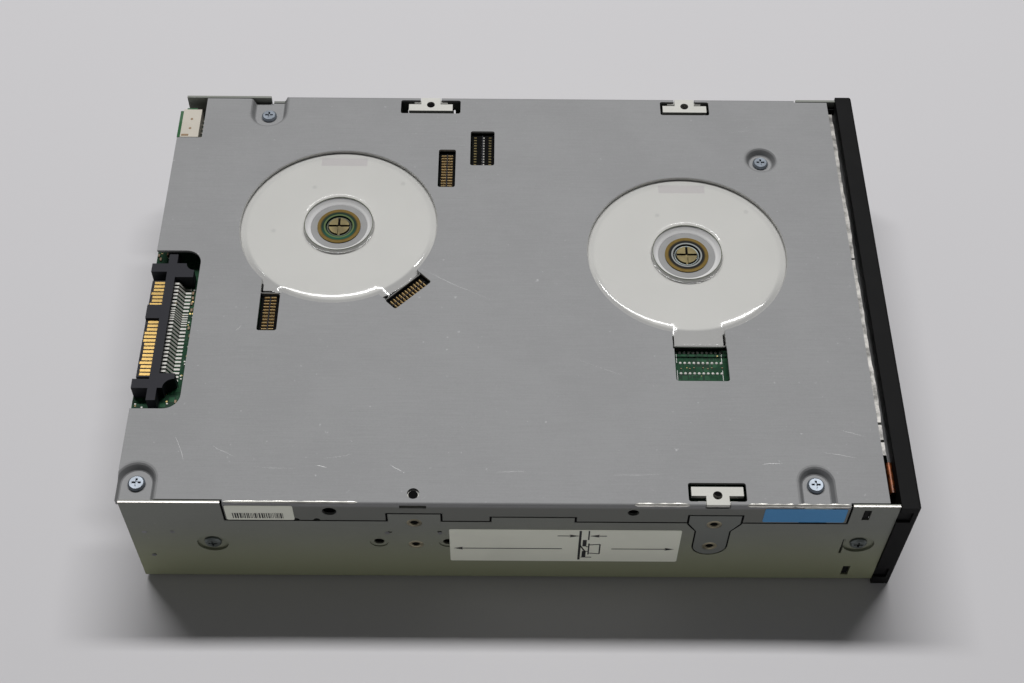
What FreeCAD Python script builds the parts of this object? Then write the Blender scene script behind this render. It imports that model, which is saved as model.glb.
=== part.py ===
"""Half-height 5.25-inch data tape drive, lying on its lid with its underside up.

Frame: millimetres, +X towards the bezel, +Z up, out of the drive's underside.
The origin is the centre of the face that the drive rests on, below the middle of the metal body.
Four helpers place everything: ahead(x) from the rear edge of the body, across(y) from its near
side, up(z) from the lid and below(d) from the underside. Named X, Y, UP and DEPTH values are
given in those terms.
"""
import FreeCAD
import Part
import math
import os

V = FreeCAD.Vector
UPRIGHT = V(0, 0, 1)
SAME = 1e-6                 # two places closer than this are one
OVERCUT = 1.0               # how far a cutting tool runs past the faces it cuts

# ---- body, to the half-height 5.25-inch form factor ----
BODY_LENGTH = 203.0
BODY_WIDTH = 146.05
BODY_HEIGHT = 41.4
SHEET = 0.8                 # steel sheet of the shell and the cover
BEND = 1.5                  # outer radius of the shell's bends
LID_PANEL_MARGIN = 14.0     # flat rim round the panel stamped out of the lid
LID_PANEL_ROUND = 4.0
REAR_WALL_DEPTH = 8.6       # the rear wall stops this far below the underside

# ---- clearances ----
SHEET_GAP = 0.3             # between cut edges of neighbouring sheets
FLANGE_GAP = 0.6            # between the cover's flange and the wall round it
FIT = 0.05                  # radial running fit
SLIDE_GAP = 0.15            # between sliding flat faces
LOOSE_GAP = 0.6             # between pieces that pass each other freely

# ---- mounting pattern ----
HOLE_PITCH = 79.25
HOLE_BEHIND_FRONT = 47.4
HOLE_FRONT_X = BODY_LENGTH - HOLE_BEHIND_FRONT
HOLE_REAR_X = HOLE_FRONT_X - HOLE_PITCH
HOLE_INSET = 3.175          # from the side wall, which spreads the holes 139.70 apart
SIDE_HOLE_DEPTHS = (10.0, 21.84)
M3_CORE_R = 1.25
M3_CLEAR_R = 1.6
COLLAR_R = 2.15             # pulled collar round a tapped hole in the sheet
COLLAR_LENGTH = 1.6
TOP_COLLAR_LENGTH = 2.4

# ---- side walls ----
WALL_TABS = ((HOLE_REAR_X - 6.85, HOLE_REAR_X + 6.95, 5.4), (HOLE_REAR_X + 20.45, HOLE_REAR_X + 42.25, 6.9))
DIMPLED_HOLES_X = (HOLE_REAR_X - 9.9, HOLE_REAR_X + 8.7)
DIMPLED_HOLES_DEPTH = 20.7
DIMPLED_HOLE_R = 1.4
DIMPLE_R = 2.5
DIMPLE = 0.3
PIPS = ((4.3, 15.7), (11.6, 15.5), (4.6, 28.4), (HOLE_REAR_X - 6.65, 14.9), (HOLE_REAR_X + 6.55, 14.7))
PIP_R = 0.6
PIP = 0.25
SLIT_X = (BODY_LENGTH - 11.9, BODY_LENGTH - 11.2)
SLIT_DEPTHS = (17.6, 25.4)

# ---- bezel, slot and cartridge door ----
BEZEL_THICK = 5.1
BEZEL_GAP = 0.1
BEZEL_PROUD = 0.5           # beyond the lid and the underside
BEZEL_OVERHANG = 0.675      # beyond the side walls
BEZEL_ROUND = 0.8
SLOT_WIDTH = 109.2
SLOT_INSET = 7.25           # from the body's far side
SLOT_LOW = 2.0              # above the lid's outer face
SLOT_HIGH = 24.9
SLOT_BEVEL = 1.6
SLOT_FLARE = 0.96
MID_Y = BODY_WIDTH - SLOT_INSET - SLOT_WIDTH / 2      # centre line of slot, cartridge and supply motor
DOOR_THICK = 1.0
DOOR_LAP = 0.4              # the door overlaps the slot's upper edge from behind
DOOR_AXIS_UP = 1.95
DOOR_PIN_R = 0.45
DOOR_BARREL_R = 0.95
DOOR_LUG = 1.6
DOOR_LUG_TOP = 1.3          # above the door's axis
DOOR_RIB = 0.4
DOOR_RIB_HALF = 0.5
DOOR_RIB_INSET = 12.0
DOOR_RIB_MARGINS = (4.0, 2.0)
DOOR_SPRING_LENGTH = 2.8
DOOR_PIN_TAIL = 3.4
SNAP_DEPTHS = ((2.0, 7.0), (33.0, 38.0))
SNAP_SLOT_X = (BODY_LENGTH - 9.1, BODY_LENGTH - 7.1)
SNAP_ARM_X = BODY_LENGTH - 10.5
SNAP_ARM_THICK = 0.9
SNAP_POCKET_X = 3.5
SNAP_POCKET = 0.8
BUTTON_WIDTH = 15.0
BUTTON_HEIGHT = 5.0
BUTTON_Y = BODY_WIDTH - 24.05
BUTTON_UP = 30.6
BUTTON_GAP = 0.2
BUTTON_TRAVEL = 1.0
BUTTON_SET_BACK = 0.1       # from the bezel's front
BUTTON_ROUND = 0.6
BUTTON_CAP_GAP = 0.3        # behind the cap, past its travel
STEM_R = 1.1
STEM_LAP = 0.1
SWITCH = (0.8, 3.0, 2.0)    # thickness, half width, half height
LIGHT_YS = (24.0, 32.0, 40.0, 48.0)
LIGHT_WIDTH = 3.0
LIGHT_HEIGHT = 1.4

# ---- reel motors: places, and openings of the cover over them ----
TAKEUP_X, TAKEUP_Y = 50.85, BODY_WIDTH - 51.85
SUPPLY_X, SUPPLY_Y = BODY_LENGTH - 50.25, MID_Y
MOTOR_HOLE_R = 29.1
# necks of the openings, for the flat cables: from and to along X and Y, from the motor's axis
TAKEUP_NECK = (-20.65, -14.45, -25.7, -18.2)
SUPPLY_NECK = (-6.05, 8.85, -34.2, -26.2)
SLANT_NECK = (-9.0, 4.7, -31.0, -20.0)
SLANT = 45.0                # turn of the third neck and its window

# ---- cover (the drive's bottom plate, here on top) ----
COVER_OVERHANG = 1.1        # past the body's rear edge
COVER_BEHIND_FRONT = 2.65
COVER_EDGE_GAP = 0.3
COVER_BEND = 0.72
FLANGE_X = (26.3, BODY_LENGTH - 12.25)
FLANGE_DEPTH = 9.3
FLANGE_SLOT = (HOLE_REAR_X - 3.55, HOLE_REAR_X + 3.45, 0.6, 2.2)
FLANGE_HOLES = ((54.4, 4.1, 1.9), (HOLE_FRONT_X - 21.8, 3.9, 1.5))
FLANGE_NOTCH = (BODY_LENGTH - 25.4, BODY_LENGTH - 18.1, 7.9)
FLANGE_RELIEFS_X = (45.4, 50.8)
FLANGE_RELIEF_R = 0.9
CORNER_NOTCH_X = 6.5
CORNER_NOTCH_Y = BODY_WIDTH - 17.75
RECESS_DEPTH = 2.2
# profile of a stamped recess: how far out from its floor, and the share of its depth
RECESS_PROFILE = ((0.0, 1.0), (0.3, 0.9), (1.05, 0.22), (1.45, 0.06), (1.95, 0.0))
RECESS_RUN = 12.0           # an open recess runs this far past its screw
# cover screws: x, y, radius of the recess' floor; and which side each recess is open to
COVER_SCREWS = ((26.0, BODY_WIDTH - 6.85, 4.2), (BODY_LENGTH - 25.4, BODY_WIDTH - 25.25, 3.3),
                (3.7, 6.7, 4.0), (BODY_LENGTH - 21.1, 7.3, 3.4))
OPEN_SIDES = (1, 0, -1, -1)
# pin windows: centre x and y, length, width; and their turns
PIN_WINDOWS = ((TAKEUP_X - 17.65, TAKEUP_Y - 31.95, 5.6, 13.9),
               (TAKEUP_X + 21.5, TAKEUP_Y - 24.75, 4.3, 14.0),
               (TAKEUP_X + 31.2, TAKEUP_Y + 22.2, 5.2, 15.15), (TAKEUP_X + 41.85, TAKEUP_Y + 30.45, 7.35,
                                                                14.05))
WINDOW_TURNS = (0.0, -SLANT, 0.0, 0.0)
WINDOW_ROUND = 0.7
BOARD_WINDOW = (SUPPLY_X - 5.75, SUPPLY_X + 8.95, SUPPLY_Y - 45.1, SUPPLY_Y - 33.45)
TAB_CUT_HALF = 7.6
TAB_CUT_WIDE_HALF = 9.3
TAB_CUT_Y = (1.3, 6.9)
FILM_THICK = 0.2
FILM_LAP = 1.6

# ---- screws and brackets ----
HEAD_R = 2.3
HEAD_H = 1.0
HEAD_BEVEL = 0.45
SHANK_R = 1.2
SHANK_LENGTH = 4.5
CROSS_LENGTH = 2.4
CROSS_WIDTH = 0.55
CROSS_DEPTH = 0.6
SIDE_SCREWS = ((21.5, 21.8), (BODY_LENGTH - 7.3, 20.4))
SIDE_RECESS_R = 4.2
SIDE_RECESS = 0.8
TAB_HALF = 6.8
TAB_Y = (3.0, 5.7)          # wings of the tab, from the side wall's outer face
TAB_THICK = 1.2
TAB_NECK_HALF = 3.0
WEB_THICK = 1.0
WEB_HALF = 5.2
WEB_BELOW_HOLE = 4.0
PAD_HALF = 6.8
PAD_NECK_HALF = 4.4
PAD_TOP_DEPTH = 5.4
PAD_SHOULDER_DEPTH = 9.4
PAD_WAIST_DEPTH = 13.6
PAD_GAP = 0.45

# ---- deck, the cast plate that carries the works ----
DECK_UP = 28.4
DECK_THICK = 2.6
DECK_MARGIN = 2.8
DECK_REAR_X = 6.0
DECK_FRONT_X = BODY_LENGTH - 5.0
DECK_ROUND = 3.0
RAIL_THICK = 3.0
RAIL_HALF = 9.0
RAIL_UP = 16.5
POST_R = 2.8
BOARD_POST_R = 2.0
BOARD_POSTS = ((12.0, 24.0), (100.0, 12.0), (100.0, BODY_WIDTH - 12.05), (BODY_LENGTH - 13.0, 40.0),
               (BODY_LENGTH - 13.0, BODY_WIDTH - 12.05), (110.0, 60.0))
DECK_SUPPLY_R = 19.0
DECK_TAKEUP_R = 11.5

# ---- main board ----
BOARD_DEPTH = 6.0
BOARD_THICK = 1.6
BOARD_REAR_X = 1.6
BOARD_TAIL_X = -2.35
BOARD_TAIL_Y = (33.0, 88.5)
BOARD_CORNER_X = 3.0
BOARD_FRONT_X = BODY_LENGTH - 6.5
BOARD_MARGIN = 4.2
BOARD_HOLE_R = 30.6

# ---- signal and power plug ----
PORT_CUT_X = 12.1
PORT_CUT_Y = (29.0, 83.7)
PORT_CUT_R = 4.5
PORT_X = 2.5
PORT_WIDTH = 2.5
PORT_Y = (32.5, 84.4)
PORT_TOP_DEPTH = 1.2
PORT_TONGUE_REAR_X = -1.6
PORT_TONGUE_DEPTH = 2.7
PORT_TONGUE_THICK = 1.2
PORT_TONGUE_MARGIN = 0.9
PORT_KEY_MARGIN = 0.8
PORT_KEY_DROP = 0.5
PORT_ARM_REAR_X = -2.1
PORT_ARM_HALF = 1.5
PORT_ARM_OUT = (4.0, 4.6)   # the near and the far arm lie this far past the outer contacts
PORT_FOOT_X = (9.4, 10.2)
PORT_FOOT_INNER = 3.4
PORT_FOOT_OUTER = (1.4, 1.6)
PORT_FOOT_NOTCH_R = (3.0, 2.4)
CONTACT_PITCH = 1.27
CONTACT_WIDTH = 0.85
CONTACT_THICK = 0.12
CONTACT_REAR = (0.35, 0.8)  # long and short contacts start this far in from the tongue's end
LONG_CONTACTS = (3, 6, 10, 11, 12, 18)
SIGNAL_CONTACTS = 7
POWER_CONTACTS = 15
SIGNAL_FIRST_Y = 73.7
GROUP_GAP = 6.35
FINE_PITCH = 0.8
FINE_CONTACTS = 6
FINE_HALF = 0.2
TAIL_HALF = 0.32
TAIL_THICK = 0.25
TAIL_DROP = 1.6             # from the top of the housing to the tails' exit
TAIL_SHOULDER = 1.2
TAIL_FOOT = 1.6
TAIL_SLANT = 0.1            # keeps the bend as thick as the tail
TAIL_END_X = 9.35

# ---- service connector in the rear corner ----
SERVICE_X = (-0.85, 4.75)
SERVICE_Y = (BODY_WIDTH - 15.65, BODY_WIDTH - 4.05)
SERVICE_TOP_DEPTH = 2.0
SERVICE_WALL = 0.8
SERVICE_SIDE_WALL = 0.9
SERVICE_BACK = 1.6
SERVICE_PINS = 6
SERVICE_PIN_INSET = 1.5
SERVICE_PIN_LENGTH = 1.3
SERVICE_PIN_HALF = 0.25
SERVICE_PIN_THICK = 0.4
SERVICE_BOARD_MARGIN = 1.0

# ---- connectors under the windows ----
PIN_BLOCK_DEPTH = 2.6
PIN_BLOCK_INSET = (0.45, 0.9)
DRIVE_BOARD_MARGINS = (2.0, 2.0, 1.0)       # beyond the window along X, at its near side, at its far side
DRIVE_BOARD_THICK = 2.4

# ---- reel motors, depths measured from the underside ----
MOTOR_FACE_DEPTH = 1.2
MOTOR_BOARD_THICK = 0.8
MOTOR_BOARD_R = 29.7
MOTOR_TAIL_MARGIN = 0.6
MOTOR_TAIL_GAP = 1.6        # from the neck's outer end
MOTOR_BASE_THICK = 1.0
MOTOR_EYE_R = 10.05
MOTOR_TUBE_R = 10.0
EYE_FLOOR_R = 8.4
EYE_FLOOR_DEPTH = 1.3
BEARING_R = 5.2
BEARING_BORE_R = 3.9
BEARING_TOP_DEPTH = 1.2
BEARING_FLANGE_R = 6.35
BEARING_FLANGE_DEPTH = 1.0
CAP_R = 3.0
CAP_TOP_DEPTH = 0.9
CAP_THICK = 1.2
CAP_SLOT_HALF = 0.35
CAP_SLOT_DEPTH = 0.7
STATOR_THICK = 1.6
STATOR_TIP_R = 24.4
STATOR_TEETH = 12
STATOR_ARM_HALF = 1.3
STATOR_SHOE_HALF = 4.4
STATOR_SHOE_THICK = 1.2
STATOR_CORE_WALL = 2.6
COIL_HALF = 2.3
COIL_HEIGHT = 3.2
COIL_IN_R = 14.0
COIL_OUT_R = 22.0
COIL_GAP = 0.5              # above the rotor's floor
ROTOR_R = 26.8
ROTOR_WALL = 1.5
ROTOR_FLOOR = 0.8
ROTOR_LIFT = 0.5            # rotor floor above the deck
ROTOR_HUB_R = 10.0
MOTOR_POSTS = 3
MOTOR_POST_R = 1.3
MOTOR_POST_RING_R = 28.2

# ---- take-up reel and supply clutch ----
REEL_R = 48.5
REEL_HUB_R = 22.0
REEL_LOW = 8.6
REEL_WINDOWS = 6
REEL_WINDOW_R = 7.0
REEL_SLOT_HALF = 2.6
REEL_SLOT_DEEP = 7.0
TAPE_WIDTH = 12.65
FLANGE_THICK = 1.1
CLUTCH_R = 16.5
CLUTCH_LOW = 24.9
CLUTCH_TEETH = 18
CLUTCH_TOOTH = 1.0
CLUTCH_TOOTH_HALVES = (0.9, 0.35)
CLUTCH_TOOTH_RING = (4.0, 0.3)

# ---- guide rollers, hung from the deck ----
ROLLERS = ((93.0, 38.0), (80.0, 25.5), (48.0, 25.5), (34.0, 37.0))
ROLLER_R = 5.0
ROLLER_FLANGE_R = 6.0
ROLLER_FLANGE = 1.0
ROLLER_LOW = 9.0
ROLLER_PIN_R = 1.5
ROLLER_COLLAR_R = 3.5
ROLLER_CLIP_R = 2.5
ROLLER_CLIP = 0.75

# ---- tape head and its lift ----
HEAD_X = 64.0
HEAD_BASE_HALF = 12.0
HEAD_BASE_Y = (4.3, 14.0)
HEAD_WALL = 1.2
HEAD_LOW_PLATE = 6.0
HEAD_ROD_SPACING = 16.0
HEAD_ROD_R = 1.0
HEAD_ROD_Y = 9.6
LEAD_SCREW_R = 1.25
LEAD_PULLEY_R = 3.4
LEAD_PULLEY = 2.0
CARRIAGE_HALF = 10.2
CARRIAGE_Y = (6.2, 12.9)
CARRIAGE_UP = (12.5, 19.5)
CARRIAGE_ROUND = 1.0
TAPE_HEAD_HALF = 6.0
TAPE_HEAD_FACE_Y = 20.2
TAPE_HEAD_UP = (10.5, 21.5)
TAPE_HEAD_BUMP_R = 2.0
TAPE_HEAD_SET_BACK = 1.2

# ---- threading arm, between the lid and the reel ----
ARM_PIVOT = (97.0, 81.0)
ARM_TIP = (96.2, 34.0)
ARM_UP = 3.2
ARM_THICK = 2.0
ARM_HUB_R = 4.0
ARM_HUB_RISE = 1.0
ARM_PIVOT_R = 2.0
ARM_FOOT_R = 3.2
ARM_CLIP_R = 2.8
ARM_CLIP = 0.75
ARM_WIDTH = 5.0
GRABBER_R = 4.2
GRABBER_WALL = 1.4
GRABBER_HEIGHT = 2.6
GRABBER_MOUTH_HALF = 1.7
GRABBER_MOUTH_X = 1.0

# ---- cartridge cradle and sled, shown in the eject position ----
CARTRIDGE_WIDTH = 105.4
CARTRIDGE_THICK = 21.5
CARTRIDGE_UP = 2.7
CRADLE_X = (SUPPLY_X - 36.75, SUPPLY_X + 23.25)
CRADLE_SHEET = 0.6
CRADLE_DROP = 2.8
CRADLE_FLOOR_GAP = 0.1
CRADLE_TOP_GAP = 0.4
CARTRIDGE_GAP = 0.7
CRADLE_LIP = 10.0
CRADLE_HOLE_MARGIN = 14.0
CRADLE_HOLE_HALF = 34.0
CRADLE_HOLE_ROUND = 6.0
SLED_SHEET = 0.8
SLED_UP = 0.1               # above the lid's inner face
SLED_FLOOR = 0.5
SLED_TIE = 12.0
SLED_OVERHANGS = (1.0, 2.0)
SLED_ABOVE_SLOT = 4.0
SLED_PINS_X = (SUPPLY_X - 30.75, SUPPLY_X + 17.25)
SLED_PIN_R = 1.0
SLED_PIN_UP = 15.5

# ---- loader gears ----
GEAR_MODULE = 0.8
GEAR_PITCH = math.pi * GEAR_MODULE
PRESSURE_SLOPE = math.tan(math.radians(20))
PINION_TEETH = 12
WHEEL_TEETH = 20
PINION_X = SUPPLY_X - 9.75
PINION_UP = (5.0, 8.0)
WHEEL_UP = (8.6, 12.6)
TOOTH_ADDENDUM = 0.5
TOOTH_DEDENDUM = 0.8
TOOTH_ROOT_LAP = 0.3        # teeth start this far inside the root circle
TOOTH_SHARE = 0.40          # tooth thickness at the pitch line, as a share of the pitch
GEAR_HUB_R = 3.0
GEAR_POST_R = 1.2
GEAR_SEAT_R = 2.6
GEAR_POST_END = 0.8
WORM_R = 2.4
RACK_STANDOFF = 3.2         # from the sled's plate to the roots of the rack's teeth
RACK_MARGIN = 1.0
RACK_BACKLASH = 0.15
WORM_LENGTH = 16.0
WORM_GAP = 0.35
MOTOR_R = 6.0
MOTOR_LENGTH = 25.0
MOTOR_FLAT = 5.0            # half height over the flats of the can
MOTOR_SHAFT_R = 0.75
MOTOR_SHAFT_LAP = 6.0
MOTOR_STANDOFF = 1.5
HOLDER_MARGIN = 3.0
HOLDER_WALL = 1.5

# ---- front: board, earthing strip, flat cable ----
STRIP_THICK = 0.7
STRIP_Y = (16.0, BODY_WIDTH - 2.05)
STRIP_DEPTHS = (4.0, 7.4)
FLEX_THICK = 0.3
FLEX_Y = (5.8, 15.0)
FLEX_FOLD_R = 0.75
FLEX_FOLD_DEPTH = 3.2
FLEX_LAP = 3.0
FRONT_BOARD_X = 3.6         # behind the bezel
FRONT_BOARD_THICK = 1.2
FRONT_BOARD_Y = (20.0, BODY_WIDTH - 10.05)
FRONT_BOARD_GAPS = (0.5, 0.4)

# ---- labels ----
LABEL_THICK = 0.1
LABEL_ROUND = 0.6
NOTE_LABEL = (HOLE_REAR_X + 9.1, HOLE_FRONT_X - 8.15, 13.1, 30.8)
BARCODE_LABEL = (27.2, 45.0, 1.2, 8.6)
BLUE_LABEL = (BODY_LENGTH - 35.0, BODY_LENGTH - 13.5, 1.3, 8.2)

# ---- datums ----
REAR = -BODY_LENGTH / 2
FRONT = BODY_LENGTH / 2
NEAR = -BODY_WIDTH / 2
FAR = BODY_WIDTH / 2
LID = BEZEL_PROUD
UNDER = LID + BODY_HEIGHT
BEZEL_REAR = FRONT + BEZEL_GAP
BEZEL_FRONT = BEZEL_REAR + BEZEL_THICK
DOOR_AXIS_X = BEZEL_REAR - SLIDE_GAP - DOOR_BARREL_R
DOOR_HALF = SLOT_WIDTH / 2 - SHEET_GAP


def ahead(x):
    """Place measured forward from the rear edge of the body."""
    return REAR + x


def across(y):
    """Place measured from the near side of the body."""
    return NEAR + y


def up(z):
    """Height above the lid's outer face."""
    return LID + z


def below(depth):
    """Height of a place this deep under the drive's underside."""
    return UNDER - depth


# ---- shapes ----
def box(x0, x1, y0, y1, z0, z1):
    """Block between two corners, given in the part's frame."""
    return Part.makeBox(x1 - x0, y1 - y0, z1 - z0, V(x0, y0, z0))


def disc(x, y, z0, z1, r):
    """Upright cylinder."""
    return Part.makeCylinder(r, z1 - z0, V(x, y, z0))


def ring(x, y, z0, z1, r_out, r_in):
    """Upright tube."""
    return disc(x, y, z0, z1, r_out).cut(disc(x, y, z0 - OVERCUT, z1 + OVERCUT, r_in))


def rod_x(x0, x1, y, z, r):
    """Cylinder along X."""
    return Part.makeCylinder(r, x1 - x0, V(x0, y, z), V(1, 0, 0))


def rod_y(x, y0, y1, z, r):
    """Cylinder along Y."""
    return Part.makeCylinder(r, y1 - y0, V(x, y0, z), V(0, 1, 0))


def prism(points, z0, z1):
    """Outline in XY, extruded upwards."""
    wire = Part.makePolygon([V(x, y, z0) for x, y in points + points[:1]])
    return Part.Face(wire).extrude(V(0, 0, z1 - z0))


def side_prism(points, y0, y1):
    """Outline in XZ, extruded along Y."""
    wire = Part.makePolygon([V(x, y0, z) for x, z in points + points[:1]])
    return Part.Face(wire).extrude(V(0, y1 - y0, 0))


def rounded(shape, radius, axis):
    """Round every straight edge that runs along the axis."""
    along = [e for e in shape.Edges if abs(abs(e.tangentAt(e.FirstParameter).dot(axis)) - 1) < SAME]
    return shape.makeFillet(radius, along)


def turned(shape, degrees, x=0.0, y=0.0):
    """Turn a shape made round the origin about Z, then move it to x, y."""
    shape.rotate(V(0, 0, 0), UPRIGHT, degrees)
    shape.translate(V(x, y, 0))
    return shape


def fuse(shapes):
    """Join shapes into one and drop the seams between them."""
    first, *rest = shapes
    return first.fuse(rest).removeSplitter() if rest else first


def mirrored_side(shape):
    """The same piece on the far side wall."""
    return shape.mirror(V(0, 0, 0), V(0, 1, 0))


def both_sides(shapes):
    """The shapes and their mirror images on the far side."""
    return shapes + [mirrored_side(s) for s in shapes]


def save(node, *solids):
    """Write one node; several solids stay separate inside it."""
    shape = solids[0] if len(solids) == 1 else Part.makeCompound(list(solids))
    shape.exportStep(os.path.join("parts", node + ".step"))


# ---- shell: lid, side walls and rear wall bent from one sheet ----
def pad_outline(grow):
    """Pad of the near bracket as it stands in the wall, in XZ, grown outwards by grow."""
    x = ahead(HOLE_FRONT_X)
    wide, narrow = PAD_HALF + grow, PAD_NECK_HALF + grow
    top, shoulder = below(PAD_TOP_DEPTH - grow), below(PAD_SHOULDER_DEPTH + grow)
    waist, centre = below(PAD_WAIST_DEPTH), below(SIDE_HOLE_DEPTHS[1])
    right = [(x + narrow, centre), (x + narrow, waist), (x + wide, shoulder), (x + wide, top)]
    left = [(2 * x - px, pz) for px, pz in reversed(right)]
    plate = side_prism(left + right, NEAR, NEAR + SHEET)
    return plate.fuse(rod_y(x, NEAR, NEAR + SHEET, centre, narrow)).removeSplitter()


def wall_cutout(grow=0.0):
    """Space in the side wall that the cover's flange fills, shrunk all round by grow."""
    x0, x1 = FLANGE_X
    space = box(ahead(x0 + grow), ahead(x1 - grow), NEAR, NEAR + SHEET, below(FLANGE_DEPTH - grow), UNDER)
    tabs = [box(ahead(t0 - grow), ahead(t1 + grow), NEAR, NEAR + SHEET, below(FLANGE_DEPTH + OVERCUT),
                below(depth - grow)) for t0, t1, depth in WALL_TABS]
    return space.cut(tabs)


def side_wall_cuts():
    """Everything cut out of the near side wall."""
    through = (NEAR - OVERCUT, NEAR + SHEET + OVERCUT)
    inside = NEAR + SHEET + COLLAR_LENGTH + OVERCUT
    cuts = [wall_cutout(), pad_outline(PAD_GAP)]
    cuts += [rod_y(ahead(HOLE_REAR_X), NEAR - OVERCUT, inside, below(d), M3_CORE_R) for d in SIDE_HOLE_DEPTHS]
    for x in DIMPLED_HOLES_X:
        cuts.append(rod_y(ahead(x), *through, below(DIMPLED_HOLES_DEPTH), DIMPLED_HOLE_R))
        cuts.append(rod_y(ahead(x), NEAR - OVERCUT, NEAR + DIMPLE, below(DIMPLED_HOLES_DEPTH), DIMPLE_R))
    cuts += [rod_y(ahead(x), NEAR - OVERCUT, NEAR + PIP, below(depth), PIP_R) for x, depth in PIPS]
    x0, x1 = SNAP_SLOT_X
    cuts += [box(ahead(x0), ahead(x1), *through, below(low), below(high)) for high, low in SNAP_DEPTHS]
    cuts.append(box(ahead(SLIT_X[0]), ahead(SLIT_X[1]), *through, below(SLIT_DEPTHS[1]),
                    below(SLIT_DEPTHS[0])))
    for x, depth in SIDE_SCREWS:
        cuts.append(rod_y(ahead(x), *through, below(depth), M3_CLEAR_R))
        cuts.append(rod_y(ahead(x), NEAR - OVERCUT, NEAR + SIDE_RECESS, below(depth), SIDE_RECESS_R))
    return cuts


def side_recess_pans():
    """Stamped pans behind the side screws, which keep the sheet's thickness."""
    pans = []
    for x, depth in SIDE_SCREWS:
        bottom = NEAR + SHEET + SIDE_RECESS
        pan = rod_y(ahead(x), NEAR + SHEET / 2, bottom, below(depth), SIDE_RECESS_R + SHEET)
        pans.append(pan.cut(rod_y(ahead(x), NEAR, bottom + OVERCUT, below(depth), M3_CLEAR_R)))
    return pans


def side_collars():
    """Pulled collars of the two tapped holes that stand in the sheet itself."""
    return [rod_y(ahead(HOLE_REAR_X), NEAR + SHEET / 2, NEAR + SHEET + COLLAR_LENGTH, below(d), COLLAR_R)
            for d in SIDE_HOLE_DEPTHS]


def lid_panel(inset, z0, z1, radius):
    """Block over the panel that is stamped out of the lid."""
    margin = LID_PANEL_MARGIN + inset
    panel = box(REAR + margin, FRONT - margin, NEAR + margin, FAR - margin, z0, z1)
    return rounded(panel, radius, UPRIGHT)


def make_shell():
    """Lid with two side walls and a low rear wall, all of one sheet."""
    outer = box(REAR, FRONT, NEAR, FAR, LID, UNDER)
    low_edges = [e for e in outer.Edges if all(abs(v.Z - LID) < SAME for v in e.Vertexes)
                 and not all(abs(v.X - FRONT) < SAME for v in e.Vertexes)]
    outer = outer.makeFillet(BEND, low_edges)
    inner = box(REAR + SHEET, FRONT + OVERCUT, NEAR + SHEET, FAR - SHEET, LID + SHEET, UNDER + OVERCUT)
    rear_gap = box(REAR - OVERCUT, REAR + SHEET, NEAR + SHEET, FAR - SHEET, below(REAR_WALL_DEPTH),
                   UNDER + OVERCUT)
    shell = outer.cut([inner, rear_gap])
    panel = lid_panel(0, 0, LID + SHEET / 2, LID_PANEL_ROUND)
    hollow = lid_panel(SHEET, SHEET, LID + SHEET + OVERCUT, LID_PANEL_ROUND - SHEET)
    shell = shell.fuse(panel).cut(hollow)
    shell = shell.fuse(both_sides(side_collars() + side_recess_pans()))
    save("shell", shell.cut(both_sides(side_wall_cuts())).removeSplitter())


# ---- cover with its stamped screw recesses and side flanges ----
def stadium(x, y, r, z, open_side):
    """Closed wire: a circle, or a U whose open end runs off the near or far edge."""
    if open_side == 0:
        return Part.Wire([Part.makeCircle(r, V(x, y, z))])
    end = y + open_side * RECESS_RUN
    left, right = V(x - r, y, z), V(x + r, y, z)
    far_left, far_right = V(x - r, end, z), V(x + r, end, z)
    arc = Part.Arc(left, V(x, y - open_side * r, z), right).toShape()
    return Part.Wire([arc, Part.makeLine(right, far_right), Part.makeLine(far_right, far_left),
                      Part.makeLine(far_left, left)])


def recess(screw, open_side, thick):
    """Stamped recess: its profile carried round the floor, moved down and out by the sheet's thickness."""
    x, y, r = screw
    wires = [stadium(ahead(x), across(y), r + out + thick, below(RECESS_DEPTH * deep + thick), open_side)
             for out, deep in RECESS_PROFILE]
    return Part.makeLoft(wires, True, True)


def recess_tool(screw, open_side):
    """Cutting tool for a recess, closed above the cover's face."""
    x, y, r = screw
    out = r + RECESS_PROFILE[-1][0]
    wires = [stadium(ahead(x), across(y), out, z, open_side) for z in (UNDER, UNDER + OVERCUT)]
    return recess(screw, open_side, 0.0).fuse(Part.makeLoft(wires, True, True))


def tab_sites():
    """Brackets with a T-shaped tab: x, side (1 far, -1 near), half width of the cover's cut-out."""
    return ((HOLE_FRONT_X, -1, TAB_CUT_HALF), (HOLE_FRONT_X, 1, TAB_CUT_HALF),
            (HOLE_REAR_X, 1, TAB_CUT_WIDE_HALF))


def pin_window(number, insets, z0, z1):
    """Block over a pin window, smaller by insets across and along, turned as the window is."""
    x, y, length, width = PIN_WINDOWS[number]
    half_x, half_y = length / 2 - insets[0], width / 2 - insets[1]
    return turned(box(-half_x, half_x, -half_y, half_y, z0, z1), WINDOW_TURNS[number], ahead(x), across(y))


def motor_opening(x, y, necks, grow, z0, z1):
    """Round motor opening with its necks, each given as an outline from the axis and a turn."""
    cx, cy = ahead(x), across(y)
    arms = []
    for (x0, x1, y0, y1), degrees in necks:
        arms.append(turned(box(x0 - grow, x1 + grow, y0 - grow, y1, z0, z1), degrees, cx, cy))
    return disc(cx, cy, z0, z1, MOTOR_HOLE_R + grow).fuse(arms)


def takeup_opening(grow, z0, z1):
    """Opening over the take-up motor, with necks to two pin windows."""
    return motor_opening(TAKEUP_X, TAKEUP_Y, ((TAKEUP_NECK, 0.0), (SLANT_NECK, SLANT)), grow, z0, z1)


def supply_opening(grow, z0, z1):
    """Opening over the supply motor, with the neck to the board window."""
    return motor_opening(SUPPLY_X, SUPPLY_Y, ((SUPPLY_NECK, 0.0),), grow, z0, z1)


def board_window(z0, z1):
    """Square window over the motor's drive board."""
    x0, x1, y0, y1 = BOARD_WINDOW
    return rounded(box(ahead(x0), ahead(x1), across(y0), across(y1), z0, z1), WINDOW_ROUND, UPRIGHT)


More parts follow.
